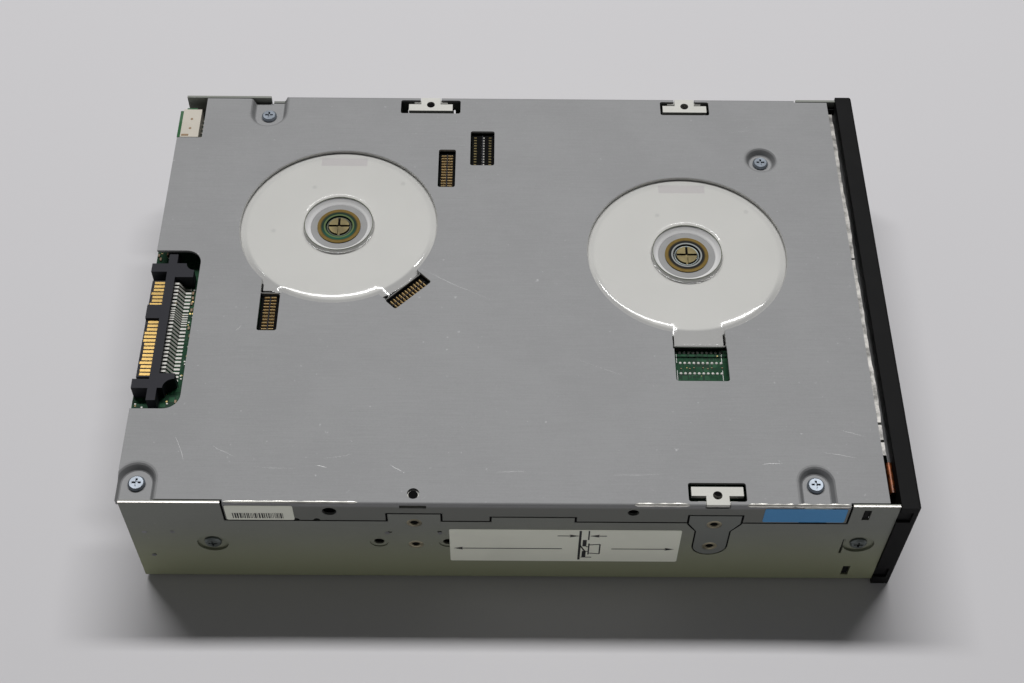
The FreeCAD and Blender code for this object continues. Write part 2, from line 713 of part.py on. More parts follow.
def cover_flange():
    """Flange of the near side, which fills the wall's cut-out round the bracket's pad."""
    flange = wall_cutout(FLANGE_GAP).cut(pad_outline(FLANGE_GAP))
    through = (NEAR - OVERCUT, NEAR + SHEET + OVERCUT)
    slot0, slot1, slot_top, slot_low = FLANGE_SLOT
    notch0, notch1, notch_top = FLANGE_NOTCH
    cuts = [box(ahead(slot0), ahead(slot1), *through, below(slot_low), below(slot_top)),
            box(ahead(notch0), ahead(notch1), *through, below(FLANGE_DEPTH), below(notch_top))]
    cuts += [rod_y(ahead(hx), *through, below(depth), r) for hx, depth, r in FLANGE_HOLES]
    cuts += [rod_y(ahead(rx), *through, below(FLANGE_DEPTH - FLANGE_GAP), FLANGE_RELIEF_R)
             for rx in FLANGE_RELIEFS_X]
    return flange.cut(cuts)


def cover_cuts():
    """Everything cut through the cover's plate."""
    z0, z1 = below(SHEET) - OVERCUT, UNDER + OVERCUT
    cuts = [box(ahead(-COVER_OVERHANG) - OVERCUT, ahead(CORNER_NOTCH_X), across(CORNER_NOTCH_Y), FAR, z0, z1)]
    port = box(ahead(-PORT_CUT_X), ahead(PORT_CUT_X), across(PORT_CUT_Y[0]), across(PORT_CUT_Y[1]), z0, z1)
    cuts.append(rounded(port, PORT_CUT_R, UPRIGHT))
    cuts += [takeup_opening(0, z0, z1), supply_opening(0, z0, z1), board_window(z0, z1)]
    cuts += [rounded(pin_window(n, (0, 0), z0, z1), WINDOW_ROUND, UPRIGHT) for n in range(len(PIN_WINDOWS))]
    cuts.append(disc(ahead(HOLE_REAR_X), across(HOLE_INSET), z0, z1, M3_CLEAR_R))
    for x, side, half in tab_sites():
        inner, middle, outer = (side * (FAR - y) for y in (TAB_CUT_Y[1], TAB_CUT_Y[0], -OVERCUT))
        neck = TAB_NECK_HALF + SHEET_GAP
        wings = box(ahead(x - half), ahead(x + half), min(inner, middle), max(inner, middle), z0, z1)
        cuts.append(rounded(wings, WINDOW_ROUND, UPRIGHT))
        cuts.append(box(ahead(x - neck), ahead(x + neck), min(inner, outer), max(inner, outer),
                        below(TAB_THICK + SHEET_GAP), z1))
    return cuts


def make_cover():
    """Flat plate with stamped recesses, openings over the motors, and a flange down each side."""
    edge = SHEET + COVER_EDGE_GAP
    rear, front = ahead(-COVER_OVERHANG), ahead(BODY_LENGTH - COVER_BEHIND_FRONT)
    plate = box(rear, front, NEAR + edge, FAR - edge, below(SHEET), UNDER)
    wide = box(ahead(FLANGE_X[0] + FLANGE_GAP), ahead(FLANGE_X[1] - FLANGE_GAP), NEAR, FAR, below(SHEET),
               UNDER)
    cover = plate.fuse([wide] + both_sides([cover_flange()])).removeSplitter()
    bends = [e for e in cover.Edges if len(e.Vertexes) == 2
             and all(abs(abs(v.Y) - FAR) < SAME and abs(v.Z - UNDER) < SAME for v in e.Vertexes)]
    cover = cover.makeFillet(COVER_BEND, bends)
    limits = box(rear, front, NEAR + edge, FAR - edge, below(RECESS_DEPTH + SHEET), below(SHEET / 2))
    screws = list(zip(COVER_SCREWS, OPEN_SIDES))
    cover = cover.fuse([recess(screw, side, SHEET).common(limits) for screw, side in screws])
    tools = [recess_tool(screw, side) for screw, side in screws]
    tools += [disc(ahead(x), across(y), below(BOARD_DEPTH), UNDER, M3_CLEAR_R) for x, y, _ in COVER_SCREWS]
    save("bottom_cover", cover.cut(tools + cover_cuts()).removeSplitter())


def make_films():
    """Clear insulating films bonded under the cover across the two motor openings."""
    z0, z1 = below(SHEET + FILM_THICK), below(SHEET)
    tool = (z0 - OVERCUT, z1 + OVERCUT)
    windows = [pin_window(n, (-SHEET_GAP, -SHEET_GAP), *tool) for n in range(2)]
    takeup = takeup_opening(FILM_LAP, z0, z1).cut(windows + [disc(ahead(TAKEUP_X), across(TAKEUP_Y),
                                                                  *tool, MOTOR_EYE_R)])
    supply = supply_opening(FILM_LAP, z0, z1).cut([board_window(*tool),
                                                   disc(ahead(SUPPLY_X), across(SUPPLY_Y), *tool,
                                                                            MOTOR_EYE_R)])
    save("takeup_film", takeup.removeSplitter())
    save("supply_film", supply.removeSplitter())


# ---- brackets and screws ----
def bracket(x, in_wall):
    """Bracket on the near side: T-shaped tab on top, web behind the wall, tapped M3 holes."""
    cx = ahead(x)
    wing0, wing1 = (NEAR + y for y in TAB_Y)
    tab = box(cx - TAB_HALF, cx + TAB_HALF, wing0, wing1, below(TAB_THICK), UNDER)
    neck = box(cx - TAB_NECK_HALF, cx + TAB_NECK_HALF, NEAR + SHEET_GAP, wing0, below(TAB_THICK), UNDER)
    collar = disc(cx, across(HOLE_INSET), below(TAB_THICK + TOP_COLLAR_LENGTH), below(TAB_THICK / 2),
                  COLLAR_R)
    web_low = below(SIDE_HOLE_DEPTHS[1] + WEB_BELOW_HOLE)
    web = box(cx - WEB_HALF, cx + WEB_HALF, NEAR + SHEET, NEAR + SHEET + WEB_THICK, web_low, below(SHEET))
    bore = disc(cx, across(HOLE_INSET), below(BOARD_DEPTH), UNDER + OVERCUT, M3_CORE_R)
    parts = [tab, neck, web, collar]
    reach = NEAR + SHEET + WEB_THICK + COLLAR_LENGTH
    if in_wall:
        parts.append(pad_outline(0))
        parts += [rod_y(cx, NEAR + SHEET, reach, below(d), COLLAR_R) for d in SIDE_HOLE_DEPTHS]
    hole_r = M3_CORE_R if in_wall else COLLAR_R + SHEET_GAP
    holes = [rod_y(cx, NEAR - OVERCUT, reach + OVERCUT, below(d), hole_r) for d in SIDE_HOLE_DEPTHS]
    return fuse(parts).cut([bore] + holes)


def make_brackets():
    """Four brackets that carry the underside's tapped holes; one lies wholly under the cover."""
    front = bracket(HOLE_FRONT_X, True)
    rear = bracket(HOLE_REAR_X, False)
    x0, x1 = ahead(HOLE_REAR_X - TAB_HALF - OVERCUT), ahead(HOLE_REAR_X + TAB_HALF + OVERCUT)
    in_wall = box(x0, x1, NEAR - OVERCUT, NEAR + SHEET, LID, UNDER + OVERCUT)
    in_cover = box(x0, x1, NEAR, across(BODY_WIDTH / 2), below(SHEET), UNDER + OVERCUT)
    save("mount_brackets", front, mirrored_side(front), mirrored_side(rear), rear.cut([in_wall, in_cover]))


def screw(x, y, z_seat):
    """Bevelled-head screw that points down, with its cross recess."""
    top = z_seat + HEAD_H
    head = disc(x, y, z_seat, top - HEAD_BEVEL, HEAD_R)
    crown = Part.makeCone(HEAD_R, HEAD_R - HEAD_BEVEL, HEAD_BEVEL, V(x, y, top - HEAD_BEVEL))
    shank = disc(x, y, z_seat - SHANK_LENGTH, z_seat, SHANK_R)
    half, wide = CROSS_LENGTH / 2, CROSS_WIDTH / 2
    z0, z1 = top - CROSS_DEPTH, top + OVERCUT
    cross = [box(x - half, x + half, y - wide, y + wide, z0, z1),
             box(x - wide, x + wide, y - half, y + half, z0, z1)]
    return head.fuse([crown, shank]).cut(cross)


def make_screws():
    """Four cover screws and four side screws."""
    save("cover_screws", *[screw(ahead(x), across(y), below(RECESS_DEPTH)) for x, y, _ in COVER_SCREWS])
    sides = []
    for x, depth in SIDE_SCREWS:
        piece = screw(0, 0, 0)
        piece.rotate(V(0, 0, 0), V(1, 0, 0), 90)
        piece.translate(V(ahead(x), NEAR + SIDE_RECESS, below(depth)))
        sides.append(piece)
    save("side_screws", *both_sides(sides))


# ---- bezel, door, button, lights ----
def slot_box(grow, x0, x1):
    """Space of the cartridge slot between two X planes, grown all round."""
    half = SLOT_WIDTH / 2 + grow
    return box(x0, x1, across(MID_Y) - half, across(MID_Y) + half, up(SLOT_LOW) - grow, up(SLOT_HIGH) + grow)


def button_box(grow, x0, x1):
    """Space of the eject button between two X planes, grown all round."""
    y, z = across(BUTTON_Y), up(BUTTON_UP)
    half_y, half_z = BUTTON_WIDTH / 2 + grow, BUTTON_HEIGHT / 2 + grow
    return box(x0, x1, y - half_y, y + half_y, z - half_z, z + half_z)


def light_boxes(x0, x1):
    """Space of each status light between two X planes."""
    z0, z1 = up(BUTTON_UP) - LIGHT_HEIGHT / 2, up(BUTTON_UP) + LIGHT_HEIGHT / 2
    return [box(x0, x1, across(y) - LIGHT_WIDTH / 2, across(y) + LIGHT_WIDTH / 2, z0, z1) for y in LIGHT_YS]


def door_lugs():
    """Lugs at both ends of the door that hold its pin."""
    lugs = []
    for outwards in (-1, 1):
        edge = across(MID_Y) + outwards * (DOOR_HALF + SLIDE_GAP)
        y0, y1 = sorted((edge, edge + outwards * DOOR_LUG))
        lugs.append(box(DOOR_AXIS_X - DOOR_BARREL_R, BEZEL_REAR, y0, y1, up(SHEET + SLIDE_GAP),
                        up(DOOR_AXIS_UP + DOOR_LUG_TOP)))
    return lugs


def snap_hooks():
    """Spring arms on the near side whose barbs catch in the wall's slots."""
    hooks = []
    inner = NEAR + SHEET + SLIDE_GAP
    x0, x1 = SNAP_SLOT_X
    for high, low in SNAP_DEPTHS:
        z0, z1 = below(low - SHEET_GAP), below(high + SHEET_GAP)
        arm = box(ahead(SNAP_ARM_X), BEZEL_REAR, inner, inner + SNAP_ARM_THICK, z0, z1)
        barb = box(ahead(x0 + SHEET_GAP), ahead(x1 - SHEET_GAP), NEAR + SHEET / 2, inner, z0, z1)
        hooks.append(arm.fuse(barb).removeSplitter())
    return hooks


def make_bezel():
    """Moulded front with the cartridge slot, lugs for the door's pin and snap hooks at the sides."""
    side = FAR + BEZEL_OVERHANG
    plate = box(BEZEL_REAR, BEZEL_FRONT, -side, side, 0, UNDER + BEZEL_PROUD)
    rim = [e for e in plate.Edges if all(abs(v.X - BEZEL_FRONT) < SAME for v in e.Vertexes)]
    plate = plate.makeFillet(BEZEL_ROUND, rim)
    bezel = plate.fuse(door_lugs() + both_sides(snap_hooks()))
    through = (BEZEL_REAR - OVERCUT, BEZEL_FRONT + OVERCUT)
    flare = SLOT_FLARE * (SLOT_BEVEL + OVERCUT) / SLOT_BEVEL
    throat = slot_box(0, BEZEL_FRONT - SLOT_BEVEL, BEZEL_FRONT).Faces[0].OuterWire
    lips = slot_box(flare, BEZEL_FRONT + OVERCUT, BEZEL_FRONT + 2 * OVERCUT).Faces[0].OuterWire
    cuts = [slot_box(0, *through), Part.makeLoft([throat, lips], True), button_box(BUTTON_GAP, *through)]
    cuts += light_boxes(*through)
    cuts.append(rod_y(DOOR_AXIS_X, NEAR, FAR, up(DOOR_AXIS_UP), DOOR_PIN_R))
    pockets = [box(through[0], BEZEL_REAR + SNAP_POCKET_X, -side - OVERCUT, -side + SNAP_POCKET,
                   below(low), below(high))
               for high, low in SNAP_DEPTHS]
    save("bezel", bezel.cut(cuts + both_sides(pockets)).removeSplitter())


def make_door():
    """Flap behind the slot, its pin along the lid edge and the spring that shuts it."""
    y0, y1 = across(MID_Y) - DOOR_HALF, across(MID_Y) + DOOR_HALF
    axis_z = up(DOOR_AXIS_UP)
    barrel = rod_y(DOOR_AXIS_X, y0, y1, axis_z, DOOR_BARREL_R)
    face_x = DOOR_AXIS_X - DOOR_THICK / 2
    leaf = box(face_x, face_x + DOOR_THICK, y0, y1, axis_z, up(SLOT_HIGH + DOOR_LAP))
    rib_low, rib_high = axis_z + DOOR_RIB_MARGINS[0], up(SLOT_HIGH - DOOR_RIB_MARGINS[1])
    ribs = [box(face_x - DOOR_RIB, face_x, y - DOOR_RIB_HALF, y + DOOR_RIB_HALF, rib_low, rib_high)
            for y in (y0 + DOOR_RIB_INSET, across(MID_Y), y1 - DOOR_RIB_INSET)]
    bore = rod_y(DOOR_AXIS_X, y0 - OVERCUT, y1 + OVERCUT, axis_z, DOOR_PIN_R + FIT)
    save("cartridge_door", fuse([barrel, leaf] + ribs).cut(bore))
    reach = SLIDE_GAP + DOOR_LUG
    end = y0 - reach - DOOR_PIN_TAIL
    save("door_pin", rod_y(DOOR_AXIS_X, end, y1 + reach, axis_z, DOOR_PIN_R))
    coil = rod_y(DOOR_AXIS_X, y0 - reach - DOOR_SPRING_LENGTH - SLIDE_GAP, y0 - reach - SLIDE_GAP,
                 axis_z, DOOR_BARREL_R)
    save("door_spring", coil.cut(rod_y(DOOR_AXIS_X, end - OVERCUT, y0, axis_z, DOOR_PIN_R)))


def make_controls():
    """Eject button, its switch, the status lights and the board behind them."""
    y, z = across(BUTTON_Y), up(BUTTON_UP)
    face = BEZEL_REAR - FRONT_BOARD_X + FRONT_BOARD_THICK
    z0 = up(SLOT_HIGH + DOOR_LAP + FRONT_BOARD_GAPS[0])
    z1 = below(BOARD_DEPTH + BOARD_THICK + FRONT_BOARD_GAPS[1])
    board = box(face - FRONT_BOARD_THICK, face, across(FRONT_BOARD_Y[0]), across(FRONT_BOARD_Y[1]), z0, z1)
    switch_x, switch_y, switch_z = SWITCH
    switch = box(face, face + switch_x, y - switch_y, y + switch_y, z - switch_z, z + switch_z)
    save("front_board", board.fuse(switch))
    front = BEZEL_FRONT - BUTTON_SET_BACK
    cap_rear = BEZEL_REAR + BUTTON_TRAVEL + BUTTON_CAP_GAP
    cap = rounded(button_box(0, cap_rear, front), BUTTON_ROUND, V(1, 0, 0))
    stem_end = face + switch_x + BUTTON_GAP + BUTTON_TRAVEL
    save("eject_button", cap.fuse(rod_x(stem_end, cap_rear + STEM_LAP, y, z, STEM_R)))
    save("status_lights", *light_boxes(face, front))


def make_front_strip():
    """Sprung earthing strip between bezel and body, and the flat cable folded beside it."""
    y0, y1 = across(STRIP_Y[0]), across(STRIP_Y[1])
    save("earthing_strip", box(BEZEL_REAR - STRIP_THICK, BEZEL_REAR, y0, y1, below(STRIP_DEPTHS[1]),
                               below(STRIP_DEPTHS[0])))
    y0, y1 = across(FLEX_Y[0]), across(FLEX_Y[1])
    fold_x, fold_z = BEZEL_REAR - FLEX_FOLD_R, below(FLEX_FOLD_DEPTH)
    fold = rod_y(fold_x, y0, y1, fold_z, FLEX_FOLD_R).cut(
        [rod_y(fold_x, y0, y1, fold_z, FLEX_FOLD_R - FLEX_THICK),
         box(fold_x - FLEX_FOLD_R, fold_x + FLEX_FOLD_R, y0, y1, fold_z - FLEX_FOLD_R, fold_z)])
    rear_x = fold_x - FLEX_FOLD_R
    lap_top = below(BOARD_DEPTH + BOARD_THICK)
    front_leg = box(BEZEL_REAR - FLEX_THICK, BEZEL_REAR, y0, y1, up(DECK_UP), fold_z)
    rear_leg = box(rear_x, rear_x + FLEX_THICK, y0, y1, lap_top - FLEX_THICK, fold_z)
    lap = box(ahead(BOARD_FRONT_X) - FLEX_LAP, rear_x, y0, y1, lap_top - FLEX_THICK, lap_top)
    save("panel_flex", fuse([fold, front_leg, rear_leg, lap]))


# ---- deck ----
def deck_top():
    """Height of the deck's face towards the underside."""
    return up(DECK_UP + DECK_THICK)


def motor_base_low():
    """Height of the lower face of the motors' base plates."""
    return below(MOTOR_FACE_DEPTH + MOTOR_BOARD_THICK + MOTOR_BASE_THICK)


def on_circle(x, y, r, count, start):
    """Places spread evenly on a circle, from a start angle in degrees."""
    turns = [math.radians(start + 360.0 * k / count) for k in range(count)]
    return [(x + r * math.cos(t), y + r * math.sin(t)) for t in turns]


def make_deck():
    """Cast plate with side feet, posts for the cover screws and the motors, and spindle openings."""
    low = up(DECK_UP)
    y0, y1 = NEAR + DECK_MARGIN + WEB_THICK, FAR - DECK_MARGIN - WEB_THICK
    rear, front = ahead(DECK_REAR_X), ahead(DECK_FRONT_X)
    plate = rounded(box(rear, front, y0, y1, low, deck_top()), DECK_ROUND, UPRIGHT)
    wall_side = NEAR + SHEET + SIDE_RECESS
    feet = []
    for x, depth in SIDE_SCREWS:
        x0, x1 = max(ahead(x) - RAIL_HALF, rear), min(ahead(x) + RAIL_HALF, front)
        foot = box(x0, x1, wall_side, wall_side + RAIL_THICK, up(RAIL_UP), deck_top())
        tip = NEAR + SIDE_RECESS + SHANK_LENGTH + OVERCUT
        feet.append(foot.cut(rod_y(ahead(x), NEAR, tip, below(depth), SHANK_R)))
    post_top = below(RECESS_DEPTH + SHEET)
    posts = [disc(ahead(x), across(y), low, post_top, POST_R) for x, y, _ in COVER_SCREWS]
    corner_x, corner_y, _ = COVER_SCREWS[2]
    posts.append(box(ahead(corner_x), rear + POST_R * 2, across(corner_y) - POST_R, across(corner_y) + POST_R,
                     low, deck_top()))
    for x, y in ((TAKEUP_X, TAKEUP_Y), (SUPPLY_X, SUPPLY_Y)):
        posts += [disc(px, py, low, motor_base_low(), MOTOR_POST_R)
                  for px, py in on_circle(ahead(x), across(y), MOTOR_POST_RING_R, MOTOR_POSTS, 90)]
    board_low = below(BOARD_DEPTH + BOARD_THICK)
    posts += [disc(ahead(x), across(y), low, board_low, BOARD_POST_R) for x, y in BOARD_POSTS]
    cuts = [disc(ahead(x), across(y), low - OVERCUT, deck_top() + OVERCUT, r)
            for x, y, r in ((TAKEUP_X, TAKEUP_Y, DECK_TAKEUP_R), (SUPPLY_X, SUPPLY_Y, DECK_SUPPLY_R))]
    seat = below(RECESS_DEPTH)
    cuts += [disc(ahead(x), across(y), seat - SHANK_LENGTH - SHEET_GAP, seat, SHANK_R) for x, y,
             _ in COVER_SCREWS]
    save("deck", plate.fuse(both_sides(feet) + posts).cut(cuts).removeSplitter())


def make_main_board():
    """Circuit board under the cover, cleared round the motors, posts and brackets."""
    z0, z1 = below(BOARD_DEPTH + BOARD_THICK), below(BOARD_DEPTH)
    far_edge = FAR - BOARD_MARGIN
    body = box(ahead(BOARD_REAR_X), ahead(BOARD_FRONT_X), NEAR + BOARD_MARGIN, far_edge, z0, z1)
    tail = box(ahead(BOARD_TAIL_X), ahead(BOARD_CORNER_X), across(BOARD_TAIL_Y[0]),
               across(BOARD_TAIL_Y[1]), z0, z1)
    corner = box(ahead(SERVICE_X[0]), ahead(BOARD_CORNER_X), across(SERVICE_Y[0] - SERVICE_BOARD_MARGIN),
                 far_edge, z0, z1)
    tool = (z0 - OVERCUT, z1 + OVERCUT)
    cuts = [disc(ahead(x), across(y), *tool, BOARD_HOLE_R) for x,
            y in ((TAKEUP_X, TAKEUP_Y), (SUPPLY_X, SUPPLY_Y))]
    cuts += [disc(ahead(x), across(y), *tool, POST_R + LOOSE_GAP) for x, y, _ in COVER_SCREWS]
    save("main_board", fuse([body, tail, corner]).cut(cuts).removeSplitter())


# ---- connectors ----
def contact_rows():
    """Y of every signal and power contact, from the far end."""
    signal = [SIGNAL_FIRST_Y - CONTACT_PITCH * k for k in range(SIGNAL_CONTACTS)]
    power = [signal[-1] - GROUP_GAP - CONTACT_PITCH * k for k in range(POWER_CONTACTS)]
    return signal, power


def port_housing(signal, power):
    """Housing of the plug: spine, tongue with its key, guide arms and notched feet."""
    low, high = below(BOARD_DEPTH), below(PORT_TOP_DEPTH)
    x0, x1 = ahead(PORT_X), ahead(PORT_X + PORT_WIDTH)
    rear = ahead(PORT_TONGUE_REAR_X)
    tongue_z = (below(PORT_TONGUE_DEPTH + PORT_TONGUE_THICK), below(PORT_TONGUE_DEPTH))
    parts = [box(x0, x1, across(PORT_Y[0]), across(PORT_Y[1]), low, high),
             box(rear, x0, across(power[-1] - PORT_TONGUE_MARGIN),
                 across(signal[0] + PORT_TONGUE_MARGIN), *tongue_z),
             box(rear, x0, across(power[0] + PORT_KEY_MARGIN), across(signal[-1] - PORT_KEY_MARGIN),
                 tongue_z[0],
                 high - PORT_KEY_DROP)]
    for k, outwards, contact in ((0, -1, power[-1]), (1, 1, signal[0])):
        arm_y = contact + outwards * PORT_ARM_OUT[k]
        parts.append(box(ahead(PORT_ARM_REAR_X), x0, across(arm_y - PORT_ARM_HALF),
                         across(arm_y + PORT_ARM_HALF), low, high))
        outer = arm_y + outwards * PORT_FOOT_OUTER[k]
        y0, y1 = sorted((outer, arm_y - outwards * PORT_FOOT_INNER))
        foot = box(x1, ahead(PORT_FOOT_X[k]), across(y0), across(y1), low, high)
        notch = disc(ahead(PORT_FOOT_X[k]), across(outer), low - OVERCUT, high + OVERCUT,
                     PORT_FOOT_NOTCH_R[k])
        parts.append(foot.cut(notch))
    return fuse(parts)


def port_tail(y, half):
    """Tail of one contact: out of the spine, down, and flat on the board."""
    x, end = ahead(PORT_X + PORT_WIDTH), ahead(TAIL_END_X)
    board, high = below(BOARD_DEPTH), below(PORT_TOP_DEPTH + TAIL_DROP)
    t = TAIL_THICK
    top = [(x, high), (x + TAIL_SHOULDER, high), (end - TAIL_FOOT, board + t), (end, board + t)]
    under = [(end, board), (end - TAIL_FOOT - TAIL_SLANT, board),
             (x + TAIL_SHOULDER - TAIL_SLANT, high - t), (x, high - t)]
    return side_prism(top + under, across(y) - half, across(y) + half)


def make_port():
    """Combined signal and power plug at the rear: housing, gold contacts and bent tails."""
    signal, power = contact_rows()
    save("port_housing", port_housing(signal, power))
    z = below(PORT_TONGUE_DEPTH)
    pads = []
    for k, y in enumerate(signal + power):
        rear = ahead(PORT_TONGUE_REAR_X) + CONTACT_REAR[0 if k in LONG_CONTACTS else 1]
        y0, y1 = across(y) - CONTACT_WIDTH / 2, across(y) + CONTACT_WIDTH / 2
        pads.append(box(rear, ahead(PORT_X), y0, y1, z, z + CONTACT_THICK))
    save("port_contacts", *pads)
    middle = (signal[-1] + power[0]) / 2
    fine = [middle + FINE_PITCH * (k - (FINE_CONTACTS - 1) / 2) for k in range(FINE_CONTACTS)]
    save("port_tails", *[port_tail(y, TAIL_HALF) for y in signal + power],
         *[port_tail(y, FINE_HALF) for y in fine])


def make_service_connector():
    """Small right-angle service connector in the rear corner."""
    low, high = below(BOARD_DEPTH), below(SERVICE_TOP_DEPTH)
    x0, x1 = (ahead(x) for x in SERVICE_X)
    y0, y1 = (across(y) for y in SERVICE_Y)
    mouth = box(x0 - OVERCUT, x1 - SERVICE_BACK, y0 + SERVICE_SIDE_WALL, y1 - SERVICE_SIDE_WALL,
                low + SERVICE_WALL, high - SERVICE_WALL)
    pitch = (y1 - y0 - 2 * SERVICE_PIN_INSET) / (SERVICE_PINS - 1)
    pins = []
    for k in range(SERVICE_PINS):
        y = y0 + SERVICE_PIN_INSET + pitch * k
        pins.append(box(x1, x1 + SERVICE_PIN_LENGTH, y - SERVICE_PIN_HALF, y + SERVICE_PIN_HALF, low,
                        low + SERVICE_PIN_THICK))
    save("service_connector", box(x0, x1, y0, y1, low, high).cut(mouth), *pins)


def make_pin_blocks():
    """Board-to-board connectors and the motor's drive board, which show through the cover's windows."""
    low = below(BOARD_DEPTH)
    save("pin_blocks", *[pin_window(n, PIN_BLOCK_INSET, low, below(PIN_BLOCK_DEPTH))
                         for n in range(len(PIN_WINDOWS))])
    x0, x1, y0, y1 = BOARD_WINDOW
    side, near, far = DRIVE_BOARD_MARGINS
    save("motor_drive_board", box(ahead(x0 - side), ahead(x1 + side), across(y0 - near),
                                  across(y1 + far), low,
                                  low + DRIVE_BOARD_THICK))

# ---- reel motors ----
def motor_board(x, y, neck):
    """Insulating disc on a motor's face, with the tail that leaves through the neck."""
    cx, cy = ahead(x), across(y)
    x0, x1, y0, y1 = neck
    z0, z1 = below(MOTOR_FACE_DEPTH + MOTOR_BOARD_THICK), below(MOTOR_FACE_DEPTH)
    tail = box(cx + x0 + MOTOR_TAIL_MARGIN, cx + x1 - MOTOR_TAIL_MARGIN, cy + y0 + MOTOR_TAIL_GAP,
               cy + y1, z0, z1)
    return disc(cx, cy, z0, z1, MOTOR_BOARD_R).fuse(tail).cut(disc(cx, cy, LID, UNDER,
                                                                   MOTOR_EYE_R)).removeSplitter()


def stator(cx, cy, coil_low):
    """Stator core with its arms and shoes, and the coils on the arms."""
    z0 = coil_low + (COIL_HEIGHT - STATOR_THICK) / 2
    z1 = z0 + STATOR_THICK
    arms, coils = [], []
    for k in range(STATOR_TEETH):
        arm = box(MOTOR_TUBE_R + STATOR_CORE_WALL / 2, STATOR_TIP_R, -STATOR_ARM_HALF, STATOR_ARM_HALF,
                  z0, z1)
        shoe = box(STATOR_TIP_R - STATOR_SHOE_THICK, STATOR_TIP_R, -STATOR_SHOE_HALF, STATOR_SHOE_HALF,
                   z0, z1)
        coil = box(COIL_IN_R, COIL_OUT_R, -COIL_HALF, COIL_HALF, coil_low, coil_low + COIL_HEIGHT).cut(arm)
        turn = 360.0 * k / STATOR_TEETH
        arms.append(turned(arm.fuse(shoe), turn, cx, cy))
        coils.append(turned(coil, turn, cx, cy))
    core = ring(cx, cy, z0, z1, MOTOR_TUBE_R + STATOR_CORE_WALL, MOTOR_TUBE_R)
    return core.fuse(arms).removeSplitter(), coils


def make_motor(prefix, x, y, neck):
    """Fixed half of a flat brushless motor; the bearing, core and coils are given back."""
    cx, cy = ahead(x), across(y)
    save(prefix + "_motor_board", motor_board(x, y, neck))
    floor_top = deck_top() + ROTOR_LIFT + ROTOR_FLOOR
    bearing_low = floor_top + LOOSE_GAP
    base_low, base_high = motor_base_low(), motor_base_low() + MOTOR_BASE_THICK
    boss_top = below(EYE_FLOOR_DEPTH)
    base = disc(cx, cy, base_low, base_high, MOTOR_BOARD_R).fuse(
        [disc(cx, cy, bearing_low, base_low, MOTOR_TUBE_R), disc(cx, cy, base_high, boss_top, EYE_FLOOR_R)])
    save(prefix + "_motor_base", base.cut(disc(cx, cy, LID, UNDER, BEARING_R)).removeSplitter())
    bearing = disc(cx, cy, bearing_low, below(BEARING_TOP_DEPTH), BEARING_R).fuse(
        disc(cx, cy, boss_top, below(BEARING_FLANGE_DEPTH), BEARING_FLANGE_R))
    bearing = bearing.cut(disc(cx, cy, LID, UNDER, BEARING_BORE_R)).removeSplitter()
    core, coils = stator(cx, cy, floor_top + COIL_GAP)
    return bearing, core, coils


def make_rotor(prefix, x, y, hub_low):
    """Rotor cup with its hub through the deck, the spindle in the bearing and the slotted cap."""
    cx, cy = ahead(x), across(y)
    floor = deck_top() + ROTOR_LIFT
    rim = motor_base_low() - LOOSE_GAP
    profile = [V(0, 0, hub_low), V(ROTOR_HUB_R, 0, hub_low), V(ROTOR_HUB_R, 0, floor), V(ROTOR_R, 0, floor),
               V(ROTOR_R, 0, rim), V(ROTOR_R - ROTOR_WALL, 0, rim), V(ROTOR_R - ROTOR_WALL, 0,
                                                                      floor + ROTOR_FLOOR),
               V(0, 0, floor + ROTOR_FLOOR)]
    cup = Part.Face(Part.makePolygon(profile + profile[:1])).revolve(V(0, 0, 0), UPRIGHT, 360)
    cup.translate(V(cx, cy, 0))
    save(prefix + "_rotor", cup)
    cap_top = below(CAP_TOP_DEPTH)
    save(prefix + "_spindle", disc(cx, cy, floor + ROTOR_FLOOR, cap_top - CAP_THICK, BEARING_BORE_R - FIT))
    half, floor_z = CAP_SLOT_HALF, cap_top - CAP_SLOT_DEPTH
    slots = [box(cx - CAP_R, cx + CAP_R, cy - half, cy + half, floor_z, UNDER),
             box(cx - half, cx + half, cy - CAP_R, cy + CAP_R, floor_z, UNDER)]
    save(prefix + "_spindle_cap", disc(cx, cy, cap_top - CAP_THICK, cap_top, CAP_R).cut(slots))


def reel_top():
    """Height of the take-up reel's upper flange, on which the rotor's hub stands."""
    return up(REEL_LOW) + FLANGE_THICK * 2 + TAPE_WIDTH


def make_takeup_reel():
    """Take-up reel: two flanges on a hub with the slot that takes the tape's leader."""
    cx, cy = ahead(TAKEUP_X), across(TAKEUP_Y)
    low, top = up(REEL_LOW), reel_top()
    reel = disc(cx, cy, low, low + FLANGE_THICK, REEL_R).fuse(
        [disc(cx, cy, low, top, REEL_HUB_R), disc(cx, cy, top - FLANGE_THICK, top, REEL_R)])
    slot = box(cx + REEL_HUB_R - REEL_SLOT_DEEP, cx + REEL_HUB_R + OVERCUT, cy - REEL_SLOT_HALF,
               cy + REEL_SLOT_HALF,
               low + FLANGE_THICK, top - FLANGE_THICK)
    windows = on_circle(cx, cy, (REEL_HUB_R + REEL_R) / 2, REEL_WINDOWS, 30)
    cuts = [disc(wx, wy, low - OVERCUT, low + FLANGE_THICK, REEL_WINDOW_R) for wx, wy in windows]
    save("takeup_reel", reel.cut([slot] + cuts).removeSplitter())


